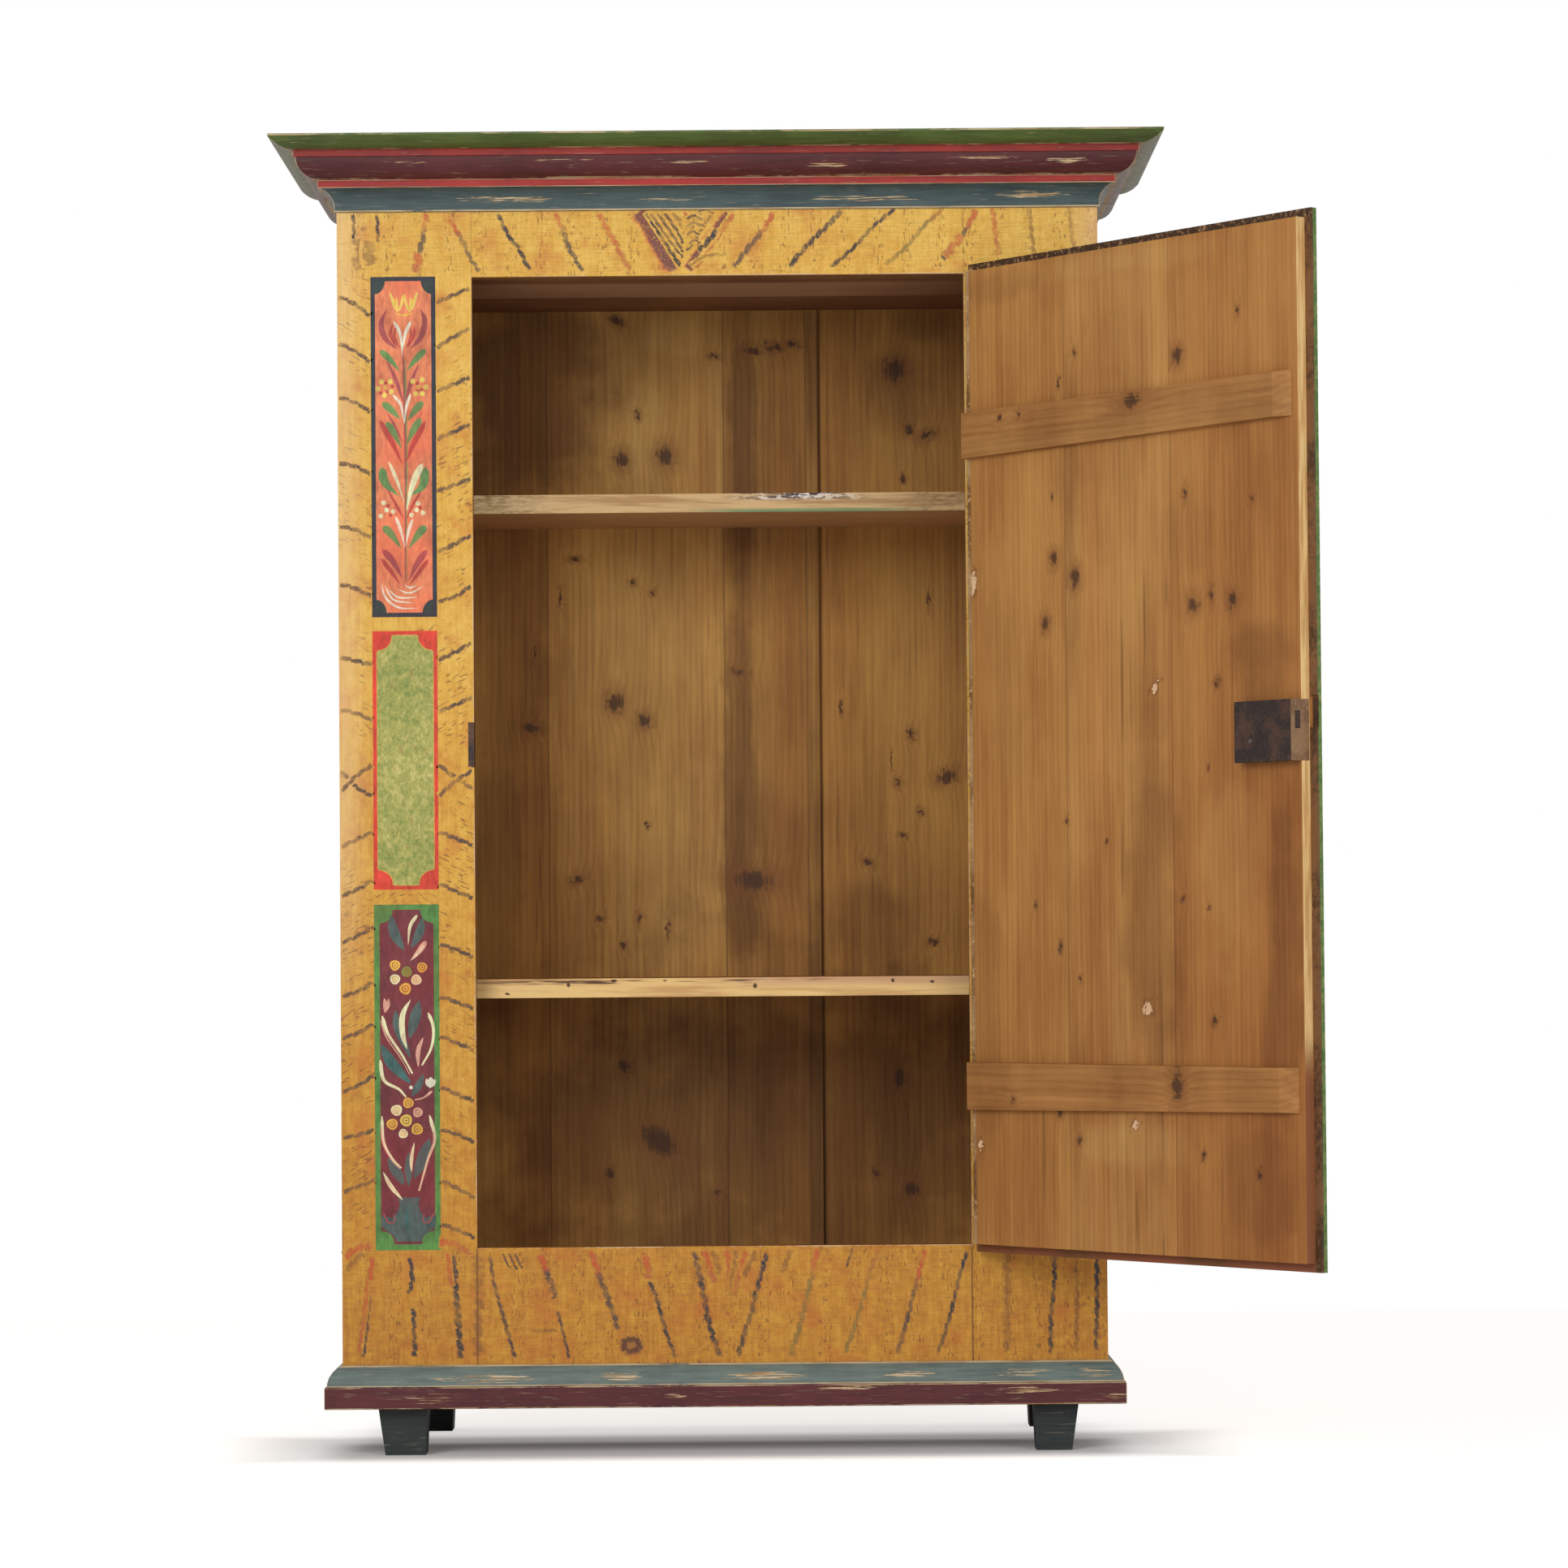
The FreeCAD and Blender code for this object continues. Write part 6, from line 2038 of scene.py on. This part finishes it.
@dataclass
class Ironwork:
    """Hinges, lock, strike plate and key."""

    nodes: dict[str, Piece]
    case_top: float = -0.1944

    def build(self) -> None:
        """Dresses the iron and steel nodes."""
        iron = Metal("forged_iron", rgb(58, 48, 46), rgb(92, 60, 42), rgb(150, 138, 126),
                     rubbed=0.4, roughness=0.55, shine=0.55)
        dark = Metal("lock_scale", rgb(60, 50, 48), rgb(84, 58, 46), rgb(128, 112, 102),
                     rubbed=0.3, roughness=0.6, shine=0.4)
        steel = Metal("worn_steel", rgb(120, 112, 104), rgb(110, 82, 60), rgb(206, 200, 190),
                      rubbed=0.7, roughness=0.38, shine=0.9)
        plate = Metal("rubbed_forend", rgb(156, 120, 86), rgb(126, 92, 62), rgb(190, 156, 124),
                      rubbed=0.5, roughness=0.6, shine=0.15)
        scale, bright = dark.build(), steel.build()
        dress(self.nodes, starting(self.nodes, "lower_hinge_", "upper_hinge_", "strike_plate"), iron.build())
        dress(self.nodes, ["lock_case", "lock_bolt", "lock_spring"], scale)
        dress(self.nodes, ["lock_forend"], plate.build())
        dress(self.nodes, ["key"], bright)
        self.rivets(scale, bright)

    def rivets(self, scale: Material, bright: Material) -> None:
        """Heads the lock's rivets and the end of its drill pin, low domes on the case.

        Args:
            scale: The finish of the rivets.
            bright: The finish of the pin's end.
        """
        rows = ((-256, 947, 3.4, bright), (-243, 938, 2.2, scale), (-300, 982, 2.6, scale),
                (-322, 928, 2.6, scale), (-236, 988, 2.4, scale))
        heads = []
        for across, up, radius, finish in rows:
            clear_selection()
            place = (across * MM, self.case_top, up * MM)
            bpy.ops.mesh.primitive_cylinder_add(vertices=16, radius=radius * MM, depth=2.4 * MM,
                                                location=place, rotation=(math.pi / 2, 0.0, 0.0))
            head = bpy.context.active_object
            settle(head)
            modify(head, "BEVEL", width=0.9 * MM, segments=3, limit_method="ANGLE")
            head.data.materials.append(finish)
            heads.append(head)
        piece = merge(heads, "lock_rivets")
        settle(piece)
        piece.data.transform(OPENED)
        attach(piece, "door")
        log.info("set %d rivets", len(heads))


@dataclass
class Studio:
    """The floor, the lights and the camera."""

    camera_place: Triple = (0.07602, -7.69066, 0.68280)
    yaw: float = math.radians(0.0771615)
    pitch: float = math.radians(1.766191)
    roll: float = math.radians(0.4515456)
    focal_pixels: float = 6720.155
    picture_pixels: float = 1932.0

    def camera(self) -> None:
        """Sets the camera up at the photograph's place and angle."""
        ahead = Vector((math.sin(self.yaw) * math.cos(self.pitch), math.cos(self.yaw) * math.cos(self.pitch),
                        math.sin(self.pitch)))
        level = Vector((math.cos(self.yaw), -math.sin(self.yaw), 0.0))
        over = level.cross(ahead)
        right = math.cos(self.roll) * level - math.sin(self.roll) * over
        top = math.sin(self.roll) * level + math.cos(self.roll) * over
        data = bpy.data.cameras.new("camera")
        data.sensor_width = 36.0
        data.lens = self.focal_pixels / self.picture_pixels * data.sensor_width
        data.clip_end = 100.0
        camera = bpy.data.objects.new("camera", data)
        turn = Matrix((right, top, -ahead)).transposed().to_4x4()
        camera.matrix_world = Matrix.Translation(self.camera_place) @ turn
        bpy.context.scene.collection.objects.link(camera)
        bpy.context.scene.camera = camera
        log.info("camera with a %.2f mm lens", data.lens)

    def floor(self) -> None:
        """Lays a pale floor, which looks white where no shadow falls on it; its camera-only glow is painted
        stronger in front of, beside and behind the cabinet, which is painted light, and weaker under its
        front half, which is a painted contact shadow.
        """
        clear_selection()
        bpy.ops.mesh.primitive_plane_add(size=24.0, location=(0.0, -9.4, 0.0))
        floor = bpy.context.active_object
        floor.name = "floor"
        settle(floor)
        recipe = Recipe("floor_white")
        rays = recipe.node("ShaderNodeLightPath")
        seen = recipe.value(rays.outputs["Is Camera Ray"])
        across, deep, _ = recipe.axes(recipe.place())
        forward = deep * -1.0
        # Painted light where the glow is raised: over the floor in front, at the sides, and behind the
        # cabinet in its real shadow. Painted shadow where the glow is lowered, under the cabinet's front
        # half.
        painted_light_share = forward.rise(0.235, 0.36).most(abs(across).rise(0.53, 0.75)).most(deep.rise(0.0, 0.12))
        painted_shadow_share = forward.rise(0.0, 0.08) * abs(across).fall(0.5, 0.58) * (1.0 - painted_light_share)
        matt = recipe.node("ShaderNodeBsdfDiffuse", inputs={"Color": (0.9, 0.895, 0.885, 1.0)})
        level = seen * (0.27 + 0.36 * painted_light_share - 0.21 * painted_shadow_share)
        tint = recipe.mix(level, (0.0, 0.0, 0.0, 1.0), (1.0, 0.985, 0.965, 1.0))
        glow = recipe.node("ShaderNodeEmission", inputs={"Color": tint, "Strength": 1.0})
        both = recipe.node("ShaderNodeAddShader", inputs={0: matt.outputs[0], 1: glow.outputs[0]})
        recipe.node("ShaderNodeOutputMaterial", inputs={"Surface": both.outputs[0]})
        floor.data.materials.append(recipe.result)

    def lamp(self, name: str, place: Triple, aim: Triple, size: float, power: float) -> None:
        """Hangs a square soft lamp.

        Args:
            name: Its name.
            place: Where it hangs.
            aim: What it points at.
            size: Its side.
            power: Its power in watts.
        """
        data = bpy.data.lights.new(name, "AREA")
        data.shape = "SQUARE"
        data.size = size
        data.energy = power
        lamp = bpy.data.objects.new(name, data)
        lamp.location = place
        lamp.rotation_euler = (Vector(aim) - Vector(place)).to_track_quat("-Z", "Y").to_euler()
        bpy.context.scene.collection.objects.link(lamp)

    def sky(self) -> None:
        """Makes the world an even white light, seen as pure white."""
        recipe = Recipe("white_room", world=True)
        bpy.context.scene.world = recipe.result
        rays = recipe.node("ShaderNodeLightPath").outputs
        white = (1.0, 1.0, 1.0, 1.0)
        light = recipe.node("ShaderNodeBackground", inputs={"Color": white, "Strength": 0.38})
        seen = recipe.node("ShaderNodeBackground", inputs={"Color": white, "Strength": 1.0})
        clear = recipe.value(rays["Is Camera Ray"]).most(recipe.value(rays["Is Transmission Ray"]))
        inputs = {0: clear, 1: light.outputs[0], 2: seen.outputs[0]}
        either = recipe.node("ShaderNodeMixShader", inputs=inputs)
        recipe.node("ShaderNodeOutputWorld", inputs={"Surface": either.outputs[0]})

    def build(self) -> None:
        """Sets the stage."""
        bpy.context.scene.view_settings.view_transform = "Standard"
        self.camera()
        self.floor()
        self.sky()
        self.lamp("key_lamp", (-2.6, -5.4, 3.0), (0.0, 0.0, 0.9), 2.6, 135.0)
        self.lamp("fill_lamp", (3.0, -5.0, 2.2), (0.2, 0.0, 0.9), 2.6, 66.0)


def main() -> None:
    """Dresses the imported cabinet, paints it and sets it in the studio."""
    logging.basicConfig(level=logging.INFO, format="%(name)s: %(message)s")
    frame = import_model()
    nodes = frame["nodes"]
    Studio().build()
    Carcass(nodes).build()
    ornament = Ornament()
    StilePanels(ornament).build()
    CombedStrokes().build()
    Door(nodes, ornament).build()
    Ironwork(nodes).build()


if __name__ == "__main__":
    main()
